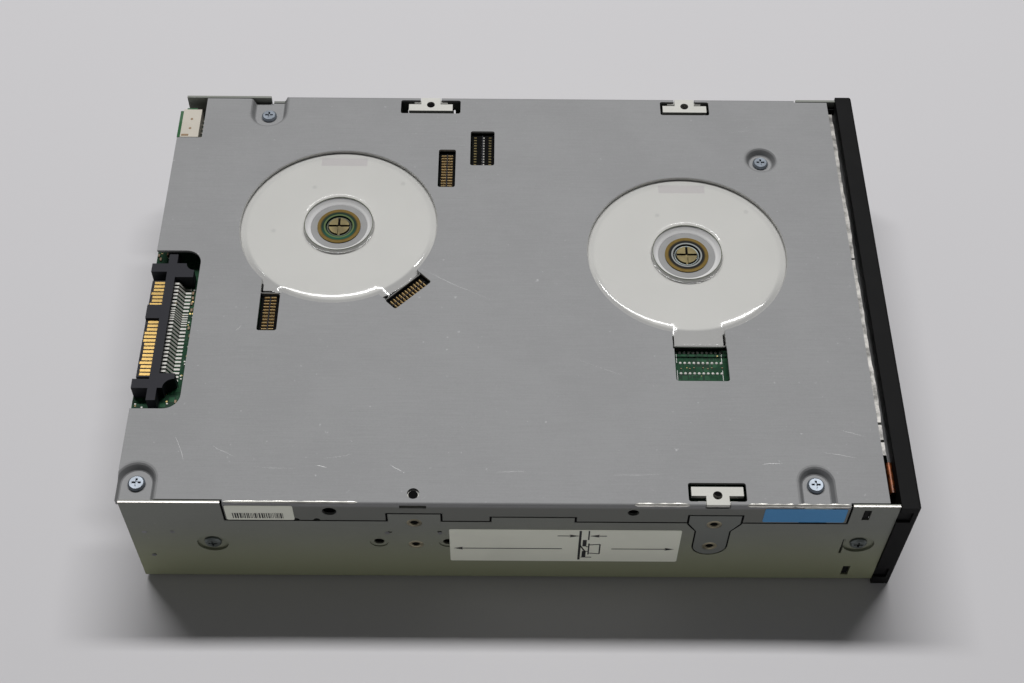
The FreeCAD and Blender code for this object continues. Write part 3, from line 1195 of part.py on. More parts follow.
def make_supply_clutch():
    """Toothed ring that drives the cartridge's hub."""
    cx, cy = ahead(SUPPLY_X), across(SUPPLY_Y)
    low = up(CLUTCH_LOW)
    root = low + CLUTCH_TOOTH
    wide, narrow = CLUTCH_TOOTH_HALVES
    inner, outer = (CLUTCH_R - inset for inset in CLUTCH_TOOTH_RING)
    teeth = []
    for k in range(CLUTCH_TEETH):
        tooth = side_prism([(-wide, root), (wide, root), (narrow, low), (-narrow, low)], inner, outer)
        teeth.append(turned(tooth, 360.0 * k / CLUTCH_TEETH, cx, cy))
    body = ring(cx, cy, root, up(DECK_UP), CLUTCH_R, ROTOR_HUB_R)
    save("supply_clutch", body.fuse(teeth).removeSplitter())


# ---- tape path ----
def make_rollers():
    """Four flanged rollers that turn on pins hung from the deck."""
    pins = []
    low, deck = up(ROLLER_LOW), up(DECK_UP)
    top = low + TAPE_WIDTH + ROLLER_FLANGE * 2
    clip_top = low - SLIDE_GAP
    for k, (x, y) in enumerate(ROLLERS):
        cx, cy = ahead(x), across(y)
        roller = fuse([disc(cx, cy, low, top, ROLLER_R),
                       disc(cx, cy, low, low + ROLLER_FLANGE, ROLLER_FLANGE_R),
                       disc(cx, cy, top - ROLLER_FLANGE, top, ROLLER_FLANGE_R)])
        save("guide_roller_%d" % (k + 1), roller.cut(disc(cx, cy, LID, UNDER, ROLLER_PIN_R + FIT)))
        pins.append(fuse([disc(cx, cy, clip_top - ROLLER_CLIP, deck, ROLLER_PIN_R),
                          disc(cx, cy, top + SLIDE_GAP, deck, ROLLER_COLLAR_R),
                          disc(cx, cy, clip_top - ROLLER_CLIP, clip_top, ROLLER_CLIP_R)]))
    save("roller_pins", *pins)


def make_head():
    """Tape head on a carriage that a lead screw lifts along two rods."""
    cx, guide_y = ahead(HEAD_X), across(HEAD_ROD_Y)
    x0, x1 = cx - HEAD_BASE_HALF, cx + HEAD_BASE_HALF
    y0, y1 = (across(y) for y in HEAD_BASE_Y)
    deck, shelf = up(DECK_UP), up(HEAD_LOW_PLATE)
    low = shelf - HEAD_WALL
    frame = fuse([box(x0, x1, y0, y1, deck - HEAD_WALL, deck), box(x0, x1, y0, y1, low, shelf),
                  box(x0, x1, y0, y0 + HEAD_WALL, low, deck)])
    rod_xs = (cx - HEAD_ROD_SPACING / 2, cx + HEAD_ROD_SPACING / 2)
    rods = [disc(x, guide_y, low, deck, HEAD_ROD_R) for x in rod_xs]
    save("head_frame", frame.cut(rods + [disc(cx, guide_y, LID, UNDER, LEAD_SCREW_R + FIT)]))
    save("head_rods", *rods)
    pulley_top = low - SLIDE_GAP
    pulley_low = pulley_top - LEAD_PULLEY
    save("lead_screw", fuse([disc(cx, guide_y, pulley_low, pulley_top, LEAD_PULLEY_R),
                             disc(cx, guide_y, pulley_low, deck - SLIDE_GAP, LEAD_SCREW_R)]))
    cy0, cy1 = (across(y) for y in CARRIAGE_Y)
    cz0, cz1 = (up(z) for z in CARRIAGE_UP)
    carriage = rounded(box(cx - CARRIAGE_HALF, cx + CARRIAGE_HALF, cy0, cy1, cz0, cz1), CARRIAGE_ROUND,
                       UPRIGHT)
    bores = [disc(x, guide_y, LID, UNDER, HEAD_ROD_R + FIT) for x in rod_xs]
    save("head_carriage", carriage.cut(bores + [disc(cx, guide_y, LID, UNDER, LEAD_SCREW_R + FIT)]))
    hz0, hz1 = (up(z) for z in TAPE_HEAD_UP)
    face = across(TAPE_HEAD_FACE_Y)
    block = box(cx - TAPE_HEAD_HALF, cx + TAPE_HEAD_HALF, cy1, face - TAPE_HEAD_SET_BACK, hz0, hz1)
    bumps = [disc(cx + s * TAPE_HEAD_HALF / 2, face - TAPE_HEAD_BUMP_R, hz0, hz1, TAPE_HEAD_BUMP_R)
             for s in (-1, 1)]
    save("tape_head", fuse([block] + bumps))


def make_threading_arm():
    """Arm that carries the tape's leader from the cartridge to the take-up hub; its post is given back."""
    px, py = (ahead(ARM_PIVOT[0]), across(ARM_PIVOT[1]))
    tx, ty = (ahead(ARM_TIP[0]), across(ARM_TIP[1]))
    z0, z1 = up(ARM_UP), up(ARM_UP + ARM_THICK)
    hub_top = z1 + ARM_HUB_RISE
    cup_top = z1 + GRABBER_HEIGHT
    half = ARM_WIDTH / 2
    beam = turned(box(0, math.hypot(tx - px, ty - py), -half, half, z0, z1),
                  math.degrees(math.atan2(ty - py, tx - px)), px, py)
    cup = ring(tx, ty, z0, cup_top, GRABBER_R, GRABBER_R - GRABBER_WALL)
    mouth = box(tx + GRABBER_MOUTH_X, tx + GRABBER_R + OVERCUT, ty - GRABBER_MOUTH_HALF,
                ty + GRABBER_MOUTH_HALF,
                z1, cup_top + OVERCUT)
    arm = fuse([disc(px, py, z0, hub_top, ARM_HUB_R), beam, disc(tx, ty, z0, z1, GRABBER_R), cup])
    save("threading_arm", arm.cut([mouth, disc(px, py, LID, UNDER, ARM_PIVOT_R + FIT)]))
    clip_low = hub_top + SLIDE_GAP
    return fuse([disc(px, py, SHEET, clip_low + ARM_CLIP, ARM_PIVOT_R),
                 disc(px, py, SHEET, z0 - SLIDE_GAP, ARM_FOOT_R),
                 disc(px, py, clip_low, clip_low + ARM_CLIP, ARM_CLIP_R)])


# ---- loader ----
def cradle_half():
    """Half width of the cradle, outside its walls."""
    return CARTRIDGE_WIDTH / 2 + CARTRIDGE_GAP + CRADLE_SHEET


def sled_half():
    """Half width of the sled, outside its plates."""
    return cradle_half() + SLIDE_GAP + SLED_SHEET


def make_cradle():
    """Tray that holds the cartridge: floor, side walls, lips, and pins in the sled's slots."""
    x0, x1 = (ahead(x) for x in CRADLE_X)
    mid, half = across(MID_Y), cradle_half()
    low = up(CARTRIDGE_UP - CRADLE_SHEET - CRADLE_FLOOR_GAP)
    top = up(CARTRIDGE_UP + CARTRIDGE_THICK + CRADLE_TOP_GAP) + CRADLE_SHEET
    wall, lip = half - CRADLE_SHEET, half - CRADLE_LIP
    outer = box(x0, x1, mid - half, mid + half, low, top)
    inner = box(x0 - OVERCUT, x1 + OVERCUT, mid - wall, mid + wall, low + CRADLE_SHEET, top - CRADLE_SHEET)
    opening = box(x0 - OVERCUT, x1 + OVERCUT, mid - lip, mid + lip, top - CRADLE_SHEET - OVERCUT,
                  top + OVERCUT)
    hole = box(x0 + CRADLE_HOLE_MARGIN, x1 - CRADLE_HOLE_MARGIN, mid - CRADLE_HOLE_HALF,
               mid + CRADLE_HOLE_HALF,
               low - OVERCUT, low + CRADLE_SHEET + OVERCUT)
    pins = []
    for x in SLED_PINS_X:
        for side in (-1, 1):
            y0, y1 = sorted((mid + side * (half - CRADLE_SHEET / 2), mid + side * sled_half()))
            pins.append(rod_y(ahead(x), y0, y1, up(SLED_PIN_UP), SLED_PIN_R))
    cuts = [inner, opening, rounded(hole, CRADLE_HOLE_ROUND, UPRIGHT)]
    save("cradle", outer.cut(cuts).fuse(pins).removeSplitter())


def rack_y():
    """Y of the rack's back, which is the sled's outer near face."""
    return across(MID_Y) - sled_half()


def rack(x0, x1):
    """Rack on the sled's near plate, its teeth placed to mesh with the pinion."""
    z0, z1 = (up(z) for z in PINION_UP)
    root = rack_y() - RACK_STANDOFF
    first = ahead(PINION_X) + GEAR_PITCH / 2
    k_low, k_high = (math.ceil((x0 + RACK_MARGIN - first) / GEAR_PITCH),
                     math.floor((x1 - RACK_MARGIN - first) / GEAR_PITCH))
    teeth = [tooth_block(first + k * GEAR_PITCH, root, z0, z1) for k in range(k_low, k_high + 1)]
    return [box(x0, x1, root, rack_y() + SLED_SHEET / 2, z0, z1)] + teeth


def make_sled():
    """Sled that draws the cradle in: floor strips, side plates with pin slots, and a rack."""
    x0, x1 = ahead(CRADLE_X[0] - SLED_OVERHANGS[0]), ahead(CRADLE_X[1] + SLED_OVERHANGS[1])
    mid, half = across(MID_Y), sled_half()
    low = LID + SHEET + SLED_UP
    top = up(SLED_PIN_UP + CRADLE_DROP + SLED_PIN_R + SLED_ABOVE_SLOT)
    plates = [box(x0, x1, mid - half, mid - half + SLED_SHEET, low, top),
              box(x0, x1, mid + half - SLED_SHEET, mid + half, low, top)]
    ties = [box(tx, tx + SLED_TIE, mid - half, mid + half, low, low + SLED_FLOOR)
            for tx in (x0, x1 - SLED_TIE)]
    slots = []
    r = SLED_PIN_R + SLIDE_GAP
    z0, z1 = up(SLED_PIN_UP), up(SLED_PIN_UP + CRADLE_DROP)
    for pin_x in SLED_PINS_X:
        x = ahead(pin_x)
        for plate_y in (mid - half, mid + half - SLED_SHEET):
            y0, y1 = plate_y - OVERCUT, plate_y + SLED_SHEET + OVERCUT
            slots += [rod_y(x, y0, y1, z0, r), rod_y(x, y0, y1, z1, r), box(x - r, x + r, y0, y1, z0, z1)]
    save("sled", fuse(plates + ties + rack(x0, x1)).cut(slots))


def tooth_halves():
    """Half widths of a rack tooth at its root and at its tip."""
    half = GEAR_PITCH * TOOTH_SHARE / 2
    return half + PRESSURE_SLOPE * TOOTH_DEDENDUM, half - PRESSURE_SLOPE * TOOTH_ADDENDUM


def tooth_block(x, root, z0, z1):
    """One straight rack tooth."""
    wide, narrow = tooth_halves()
    tip = root - TOOTH_ADDENDUM - TOOTH_DEDENDUM
    return prism([(x - wide, root), (x - narrow, tip), (x + narrow, tip), (x + wide, root)], z0, z1)


def spur(cx, cy, z0, z1, teeth):
    """Spur gear with straight-sided teeth, one tooth pointing along +Y."""
    pitch_r = GEAR_MODULE * teeth / 2
    root_r, tip_r = pitch_r - TOOTH_DEDENDUM, pitch_r + TOOTH_ADDENDUM
    wide, narrow = tooth_halves()
    foot = (wide + GEAR_PITCH * TOOTH_SHARE / 2) / 2
    base = root_r - TOOTH_ROOT_LAP
    outline = [(-foot, base), (foot, base), (narrow, tip_r), (-narrow, tip_r)]
    shapes = [turned(prism(outline, z0, z1), 360.0 * k / teeth) for k in range(teeth)]
    return turned(disc(0, 0, z0, z1, root_r).fuse(shapes).removeSplitter(), 0, cx, cy)


def pinion_y():
    """Y of the pinion's axis: its pitch line meets the rack's."""
    return rack_y() - RACK_STANDOFF - TOOTH_DEDENDUM - GEAR_MODULE * PINION_TEETH / 2 - RACK_BACKLASH


def make_loader():
    """Loader motor, worm, and the gear whose pinion drives the sled's rack; its post is given back."""
    cx, cy = ahead(PINION_X), pinion_y()
    low, hub_low, hub_high, top = (up(z) for z in PINION_UP + WHEEL_UP)
    gear = fuse([spur(cx, cy, low, hub_low, PINION_TEETH), disc(cx, cy, hub_low, hub_high, GEAR_HUB_R),
                 spur(cx, cy, hub_high, top, WHEEL_TEETH)])
    save("loader_gear", gear.cut(disc(cx, cy, LID, UNDER, GEAR_POST_R + FIT)))
    y = cy - GEAR_MODULE * WHEEL_TEETH / 2 - TOOTH_ADDENDUM - WORM_GAP - WORM_R
    z = (hub_high + top) / 2
    worm_end = cx + WORM_LENGTH / 2
    x0 = worm_end + MOTOR_STANDOFF
    x1 = x0 + MOTOR_LENGTH
    save("worm", fuse([rod_x(cx - WORM_LENGTH / 2, worm_end, y, z, WORM_R),
                       rod_x(worm_end, x0 + MOTOR_SHAFT_LAP, y, z, MOTOR_SHAFT_R)]))
    wide = MOTOR_R + OVERCUT
    flats = [box(x0, x1, y - wide, y + wide, z + MOTOR_FLAT, z + wide),
             box(x0, x1, y - wide, y + wide, z - wide, z - MOTOR_FLAT)]
    bore = rod_x(x0, x0 + MOTOR_SHAFT_LAP + SLIDE_GAP, y, z, MOTOR_SHAFT_R + FIT)
    save("loader_motor", rod_x(x0, x1, y, z, MOTOR_R).cut(flats + [bore]))
    hx0, hx1 = x0 + HOLDER_MARGIN, x1 - HOLDER_MARGIN
    floor = LID + SHEET
    outer = MOTOR_R + HOLDER_WALL
    holder = [box(hx0, hx1, y - outer, y + outer, floor, z - MOTOR_FLAT)]
    for side in (-1, 1):
        y0, y1 = sorted((y + side * (MOTOR_R + FIT), y + side * outer))
        holder.append(box(hx0, hx1, y0, y1, floor, z))
    save("loader_motor_holder", fuse(holder))
    return fuse([disc(cx, cy, SHEET, top + GEAR_POST_END, GEAR_POST_R),
                 disc(cx, cy, SHEET, low - SLIDE_GAP, GEAR_SEAT_R)])


# ---- labels ----
def make_labels():
    """Thin labels on the near side."""
    plates = []
    for x0, x1, top, low in (NOTE_LABEL, BARCODE_LABEL, BLUE_LABEL):
        plate = box(ahead(x0), ahead(x1), NEAR - LABEL_THICK, NEAR, below(low), below(top))
        plates.append(rounded(plate, LABEL_ROUND, V(0, 1, 0)))
    note, barcode, blue = plates
    save("white_labels", note, barcode)
    save("blue_label", blue)


def make_motors():
    """Both reel motors; the nodes that the two share hold the pieces of both."""
    takeup = make_motor("takeup", TAKEUP_X, TAKEUP_Y, TAKEUP_NECK)
    supply = make_motor("supply", SUPPLY_X, SUPPLY_Y, SUPPLY_NECK)
    (bearing_1, core_1, coils_1), (bearing_2, core_2, coils_2) = takeup, supply
    save("spindle_bearings", bearing_1, bearing_2)
    save("stator_cores", core_1, core_2)
    save("motor_coils", *coils_1, *coils_2)
    make_rotor("takeup", TAKEUP_X, TAKEUP_Y, reel_top())
    make_rotor("supply", SUPPLY_X, SUPPLY_Y, up(CLUTCH_LOW + CLUTCH_TOOTH))


def main():
    """Build and write every node."""
    os.makedirs("parts", exist_ok=True)
    make_shell()
    make_cover()
    make_films()
    make_brackets()
    make_screws()
    make_bezel()
    make_door()
    make_controls()
    make_front_strip()
    make_deck()
    make_main_board()
    make_port()
    make_service_connector()
    make_pin_blocks()
    make_motors()
    make_takeup_reel()
    make_supply_clutch()
    make_rollers()
    make_head()
    make_cradle()
    make_sled()
    save("lid_posts", make_threading_arm(), make_loader())
    make_labels()


main()
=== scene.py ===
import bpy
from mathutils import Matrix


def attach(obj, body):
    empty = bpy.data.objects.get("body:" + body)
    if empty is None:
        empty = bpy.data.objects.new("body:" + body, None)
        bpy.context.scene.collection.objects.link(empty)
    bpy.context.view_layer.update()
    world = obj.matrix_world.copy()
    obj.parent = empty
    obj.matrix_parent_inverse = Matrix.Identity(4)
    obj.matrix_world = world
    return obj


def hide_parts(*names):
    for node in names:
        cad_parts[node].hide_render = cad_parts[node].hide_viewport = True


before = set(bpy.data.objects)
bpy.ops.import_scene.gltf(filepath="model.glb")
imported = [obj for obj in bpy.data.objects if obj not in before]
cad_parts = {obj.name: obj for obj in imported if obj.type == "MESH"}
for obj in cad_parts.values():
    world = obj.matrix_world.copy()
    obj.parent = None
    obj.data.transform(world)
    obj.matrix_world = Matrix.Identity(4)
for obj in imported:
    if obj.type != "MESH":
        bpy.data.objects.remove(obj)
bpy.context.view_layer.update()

"""Looks of a half-height data tape drive that lies on its lid, with its underside up.

Lengths are in metres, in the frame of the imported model: +X towards the bezel, +Z up.
"""
import logging
import math
from dataclasses import dataclass
from enum import Enum

import bpy
import numpy as np
from mathutils import Matrix, Vector

logging.basicConfig(level=logging.INFO, format="%(message)s")
log = logging.getLogger("tape_drive")
MM = 0.001
CHASSIS = "chassis"
Colour = tuple[float, float, float]
Triple = tuple[float, float, float]
Pair = tuple[float, float]
Mesh = tuple[np.ndarray, np.ndarray]
Neck = tuple[tuple[float, float, float, float], float]


# ---------------------------------------------------------------- shader maths
class Sock:
    """A shader output that turns Python arithmetic into Math nodes."""

    def __init__(self, graph: "Graph", socket: bpy.types.NodeSocket) -> None:
        """Wrap one output socket of a graph."""
        self.graph, self.socket = graph, socket

    def math(self, operation: str, *others: object) -> "Sock":
        """Add one Math node.

        Args:
            operation: Blender's name of the operation.
            others: the other inputs, numbers or sockets.

        Returns:
            The node's result.
        """
        return self.graph.node("ShaderNodeMath", {"operation": operation}, dict(enumerate((self,) + others)))

    def __add__(self, other: object) -> "Sock":
        """Sum."""
        return self.math("ADD", other)

    def __radd__(self, other: object) -> "Sock":
        """Sum, from the right."""
        return self.math("ADD", other)

    def __mul__(self, other: object) -> "Sock":
        """Product."""
        return self.math("MULTIPLY", other)

    def __rmul__(self, other: object) -> "Sock":
        """Product, from the right."""
        return self.math("MULTIPLY", other)

    def __sub__(self, other: object) -> "Sock":
        """Difference."""
        return self.math("SUBTRACT", other)

    def __rsub__(self, other: object) -> "Sock":
        """Difference from a number."""
        return (self * -1.0) + other

    def __gt__(self, other: object) -> "Sock":
        """1 where this is larger, else 0."""
        return self.math("GREATER_THAN", other)

    def __lt__(self, other: object) -> "Sock":
        """1 where this is smaller, else 0."""
        return self.math("LESS_THAN", other)

    def abs(self) -> "Sock":
        """Absolute value."""
        return self.math("ABSOLUTE")

    def step(self, low: float, high: float) -> "Sock":
        """Smooth step from 0 at low to 1 at high."""
        values = {"Value": self, "From Min": low, "From Max": high}
        return self.graph.node("ShaderNodeMapRange", {"interpolation_type": "SMOOTHSTEP"}, values)


class Graph:
    """The node tree of one material, with a Principled shader as its surface."""

    def __init__(self, name: str) -> None:
        """Start an empty material.

        Args:
            name: the material's name.
        """
        self.material = bpy.data.materials.new(name)
        self.material.use_nodes = True
        self.tree = self.material.node_tree
        self.tree.nodes.clear()
        self.shader = self.tree.nodes.new("ShaderNodeBsdfPrincipled")
        output = self.tree.nodes.new("ShaderNodeOutputMaterial")
        self.tree.links.new(self.shader.outputs[0], output.inputs[0])
        self._place: Sock | None = None

    def node(self, kind: str, settings: dict | None = None, inputs: dict | None = None,
             out: int | str = 0) -> Sock:
        """Add one node.

        Args:
            kind: the node's type.
            settings: properties that are set first.
            inputs: values or sockets, by input name or index.
            out: which output is returned.

        Returns:
            The wrapped output.
        """
        made = self.tree.nodes.new(kind)
        for key, value in (settings or {}).items():
            setattr(made, key, value)
        for key, value in (inputs or {}).items():
            self.feed(made.inputs[key], value)
        return Sock(self, made.outputs[out])

    def feed(self, socket: bpy.types.NodeSocket, value: object) -> None:
        """Link a wrapped socket, or write a plain value.

        Args:
            socket: the input.
            value: a Sock, number or tuple.
        """
        if isinstance(value, Sock):
            self.tree.links.new(value.socket, socket)
        elif isinstance(value, tuple) and len(value) == 3 and socket.type == "RGBA":
            socket.default_value = (*value, 1.0)
        else:
            socket.default_value = value

    def place(self) -> Sock:
        """Object coordinates, in metres."""
        if self._place is None:
            self._place = self.node("ShaderNodeTexCoord", out="Object")
        return self._place

    def xyz(self) -> tuple[Sock, Sock, Sock]:
        """The three object coordinates as numbers."""
        parts = self.node("ShaderNodeSeparateXYZ", inputs={0: self.place()}).socket.node
        return tuple(Sock(self, parts.outputs[i]) for i in range(3))

    def stretched(self, scale: tuple[float, float, float]) -> Sock:
        """Object coordinates scaled along each axis."""
        return self.node("ShaderNodeMapping", inputs={"Vector": self.place(), "Scale": scale})

    def noise(self, scale: float, detail: float = 3.0, rough: float = 0.5,
              vector: Sock | None = None) -> Sock:
        """Fractal noise between 0 and 1.

        Args:
            scale: cells per metre.
            detail: octaves.
            rough: weight of the finer octaves.
            vector: coordinates, the object's own by default.

        Returns:
            The noise.
        """
        values = {"Vector": vector or self.place(), "Scale": scale, "Detail": detail, "Roughness": rough}
        return self.node("ShaderNodeTexNoise", inputs=values)

    def mix(self, share: Sock | float, low: object, high: object) -> Sock:
        """Blend two colours.

        Args:
            share: 0 for the first, 1 for the second.
            low: first colour, a tuple or a socket.
            high: second colour.

        Returns:
            The blended colour.
        """
        made = self.tree.nodes.new("ShaderNodeMix")
        made.data_type = "RGBA"
        self.feed(made.inputs[0], share)
        self.feed(made.inputs[6], low)
        self.feed(made.inputs[7], high)
        return Sock(self, made.outputs[2])

    def bump(self, height: Sock, depth: float, strength: float = 1.0) -> Sock:
        """Bump normal from a height between 0 and 1.

        Args:
            height: the height.
            depth: metres between heights 0 and 1.
            strength: share of the effect.

        Returns:
            The normal.
        """
        return self.node("ShaderNodeBump", inputs={"Strength": strength, "Distance": depth, "Height": height})

    def surface(self, **values: object) -> bpy.types.Material:
        """Set the Principled shader's sockets.

        Args:
            values: socket names with underscores for spaces.

        Returns:
            The finished material.
        """
        for key, value in values.items():
            self.feed(self.shader.inputs[key.replace("_", " ")], value)
        return self.material


# ---------------------------------------------------------------- finishes
@dataclass(frozen=True)
class SheetSteel:
    """Zinc-coated sheet: matt, faintly cloudy, with fine rolling lines, painted light down the side walls
    (painted shade on some finishes, a painted floor reflection on the shell), and a lighter, glossier top
    edge on the near wall.
    """

    name: str
    colour: Colour
    edge_height: float = 1.0
    # painted light down the side walls: its colour, and the heights where it starts and where it is full
    painted_wall_light: Colour | None = None
    wall_light_from: float = 34.0
    wall_light_to: float = 2.0
    wall: float = 72.0 * MM
    near_wall: float = -72.6 * MM
    roughness: float = 0.66
    metallic: float = 0.45
    bright: Colour = (0.62, 0.58, 0.55)
    spangle: Colour = (0.40, 0.405, 0.41)

    def material(self) -> bpy.types.Material:
        """Build the material: rolling lines are noise stretched along the sheet.

        Painted light grows down the side walls: painted shade on the cover's flange and the brackets' webs, a
        painted floor reflection on the shell. The near wall's top edge is lighter and glossier.
        """
        g = Graph(self.name)
        lines = g.noise(1.0, 2.0, 0.6, g.stretched((90.0, 3600.0, 3600.0)))
        cloud = g.noise(42.0, 4.0, 0.62)
        grain = g.noise(2400.0, 2.0, 0.7)
        spots = g.noise(600.0, 2.0, 0.6).step(0.70, 0.78)
        dark = tuple(c * 0.93 for c in self.colour)
        light = tuple(min(1.0, c * 1.06) for c in self.colour)
        colour = g.mix((cloud * 0.5 + lines * 0.25 + grain * 0.25).step(0.35, 0.65), dark, light)
        colour = g.mix(spots * 0.22, colour, self.spangle)
        _, across, height = g.xyz()
        # painted light: below a set height the side walls blend towards a second colour, painted shade on the
        # cover and brackets, a painted floor reflection on the shell
        if self.painted_wall_light:
            outside = across.abs() > self.wall
            share = height.step(self.wall_light_from * MM, self.wall_light_to * MM) * outside
            colour = g.mix(share, colour, self.painted_wall_light)
        # the near wall's top edge is made lighter and glossier
        lighter_top_edge = (height > self.edge_height) * (across < self.near_wall)
        colour = g.mix(lighter_top_edge * 0.9, colour, self.bright)
        rough = self.roughness + cloud * 0.06 - spots * 0.1 - lighter_top_edge * 0.3
        bump = g.bump(lines * 0.3 + grain * 0.7, 4e-6, 0.6)
        return g.surface(Base_Color=colour, Metallic=self.metallic, Roughness=rough, Normal=bump)


@dataclass(frozen=True)
class BareMetal:
    """Machined, plated or cast metal with fine grain."""

    name: str
    colour: Colour
    roughness: float = 0.3
    grain: float = 3000.0
    relief: float = 4e-6
    metallic: float = 1.0
    blotch: float = 0.12

    def material(self) -> bpy.types.Material:
        """Build the material: two noises vary colour and gloss, the finer one lifts the surface."""
        g = Graph(self.name)
        cloud = g.noise(self.grain * 0.06, 4.0, 0.6)
        fine = g.noise(self.grain, 2.0, 0.6)
        dark = tuple(c * (1.0 - self.blotch * 1.6) for c in self.colour)
        colour = g.mix(cloud.step(0.3, 0.7), dark, self.colour)
        rough = self.roughness + (cloud - 0.5) * 0.2
        return g.surface(Base_Color=colour, Metallic=self.metallic, Roughness=rough,
                         Normal=g.bump(fine, self.relief, 0.7))


@dataclass(frozen=True)
class MouldedPlastic:
    """Spark-eroded moulded plastic: pebbled grain and slight dust in random patches."""

    name: str
    colour: Colour
    roughness: float = 0.48
    grain: float = 2600.0
    relief: float = 1.4e-5
    dust: float = 0.05
    alpha: float = 1.0
    specular: float = 0.4

    def material(self) -> bpy.types.Material:
        """Build the material."""
        g = Graph(self.name)
        pebble = g.noise(self.grain, 3.0, 0.55)
        patch = g.noise(160.0, 4.0, 0.6)
        dusty = tuple(c + self.dust for c in self.colour)
        colour = g.mix(patch.step(0.35, 0.75), self.colour, dusty)
        rough = self.roughness + (patch - 0.5) * 0.15
        return g.surface(Base_Color=colour, Roughness=rough, Alpha=self.alpha,
                         Specular_IOR_Level=self.specular, Normal=g.bump(pebble, self.relief, 0.5))


@dataclass(frozen=True)
class CircuitLaminate:
    """Green solder mask over copper tracks, with darker ground areas and tiny plated holes."""

    name: str
    mask: Colour = (0.004, 0.030, 0.013)
    track: Colour = (0.012, 0.075, 0.030)
    ground: Colour = (0.008, 0.05, 0.022)
    plating: Colour = (0.55, 0.42, 0.18)

    def material(self) -> bpy.types.Material:
        """Build the material: tracks are the cell edges of a chebychev pattern, holes are cell centres."""
        g = Graph(self.name)
        cells = {"feature": "F1", "distance": "CHEBYCHEV"}
        grid = {"Vector": g.place(), "Scale": 520.0, "Randomness": 0.75}
        track = g.node("ShaderNodeTexVoronoi", cells, grid).math("PINGPONG", 0.16).step(0.04, 0.09)
        spots = {"Vector": g.place(), "Scale": 360.0}
        holes = g.node("ShaderNodeTexVoronoi", {"feature": "F1"}, spots).step(0.13, 0.10)
        ground = g.noise(150.0, 2.0, 0.4).step(0.48, 0.53)
        colour = g.mix(track, self.track, self.mask)
        colour = g.mix(ground * 0.65, colour, self.ground)
        colour = g.mix(holes, colour, self.plating)
        height = track * -0.6 + holes * -0.5
        return g.surface(Base_Color=colour, Roughness=0.5 + ground * 0.1, Metallic=holes * 0.8,
                         Specular_IOR_Level=0.12, Normal=g.bump(height, 2.5e-5, 0.6))


@dataclass(frozen=True)
class MotorLaminate:
    """Cream insulating face of a reel motor, with a pad and faint dots, and painted shade in a grey band
    along its rim, strongest on the near side.
    """

    name: str
    centre: tuple[float, float]
    dots: tuple[tuple[float, float], ...]
    colour: Colour = (0.545, 0.54, 0.515)
    pad: Colour = (0.45, 0.425, 0.425)
    pad_place: float = 25.4 * MM
    dot: Colour = (0.34, 0.34, 0.33)
    # colour of the painted shade along the rim
    rim: Colour = (0.30, 0.298, 0.29)

    def material(self) -> bpy.types.Material:
        """Build the material: the pad is a soft-edged rectangle, the dots are small discs."""
        g = Graph(self.name)
        x, y, _ = g.xyz()
        dx, dy = x - self.centre[0], y - self.centre[1]
        pad = dx.abs().step(7.1 * MM, 6.8 * MM) * (dy - self.pad_place).abs().step(1.7 * MM, 1.4 * MM)
        mottle = g.noise(55.0, 3.0, 0.5)
        colour = g.mix(mottle.step(0.3, 0.7), self.colour, tuple(c * 0.97 for c in self.colour))
        colour = g.mix(pad * 0.8, colour, self.pad)
        for px, py in self.dots:
            far = (dx - px * MM) * (dx - px * MM) + (dy - py * MM) * (dy - py * MM)
            colour = g.mix(far.step(9e-7, 2e-7) * 0.35, colour, self.dot)
        # painted shade: a grey band along the rim, strongest on the near side, where the film slopes down to
        # the cover
        radius = (dx * dx + dy * dy).math("SQRT")
        near = dy.step(-2.0 * MM, -20.0 * MM)
        rim = radius.step(26.5 * MM, 27.6 * MM) * (near * 0.75 + 0.2)
        colour = g.mix(rim, colour, self.rim)
        return g.surface(Base_Color=colour, Roughness=0.5, Normal=g.bump(g.noise(900.0), 1e-5, 0.3))


@dataclass(frozen=True)
class HubRings:
    """Gilt flange and dark sleeve of a spindle bearing, with a bright ring in the sleeve's face and a
    greenish sheen painted on the near half of the take-up sleeve.
    """

    name: str
    centres: tuple[tuple[float, float], ...]
    gilt: Colour = (0.125, 0.085, 0.025)
    sleeves: tuple[Colour, ...] = ((0.008, 0.025, 0.016), (0.008, 0.009, 0.009))
    rings: tuple[Colour, ...] = ((0.10, 0.14, 0.05), (0.28, 0.29, 0.28))
    # colour of the painted sheen on the take-up sleeve
    painted_sheen_colour: Colour = (0.01, 0.08, 0.05)
    shade: Colour = (0.03, 0.022, 0.01)
    ring_radius: float = 4.25 * MM
    flange_radius: float = 5.35 * MM

    def material(self) -> bpy.types.Material:
        """Build the material: bands of colour by the distance to the nearer of the two axes."""
        g = Graph(self.name)
        x, y, _ = g.xyz()
        (x0, y0), (x1, y1) = self.centres
        second = x > (x0 + x1) / 2
        dx, dy = x - (second * (x1 - x0) + x0), y - (second * (y1 - y0) + y0)
        radius = (dx * dx + dy * dy).math("SQRT")
        sleeve = g.mix(second, *self.sleeves)
        # painted sheen: the take-up sleeve turns greenish towards the near side
        sheen = dy.step(0.5 * MM, -4.5 * MM) * (1.0 - second)
        sleeve = g.mix(sheen * 0.7, sleeve, self.painted_sheen_colour)
        bright = (radius - self.ring_radius).abs().step(0.3 * MM, 0.14 * MM)
        colour = g.mix(bright * 0.85, sleeve, g.mix(second, *self.rings))
        gilded = radius.step(5.15 * MM, 5.3 * MM)
        gilt = g.mix(g.noise(700.0), self.gilt, tuple(c * 0.6 for c in self.gilt))
        colour = g.mix(gilded, colour, gilt)
        edge = (radius - self.flange_radius).abs().step(0.14 * MM, 0.05 * MM)
        colour = g.mix(edge * 0.8, colour, self.shade)
        return g.surface(Base_Color=colour, Metallic=gilded * 0.5 + 0.2, Roughness=0.5,
                         Specular_IOR_Level=0.1)


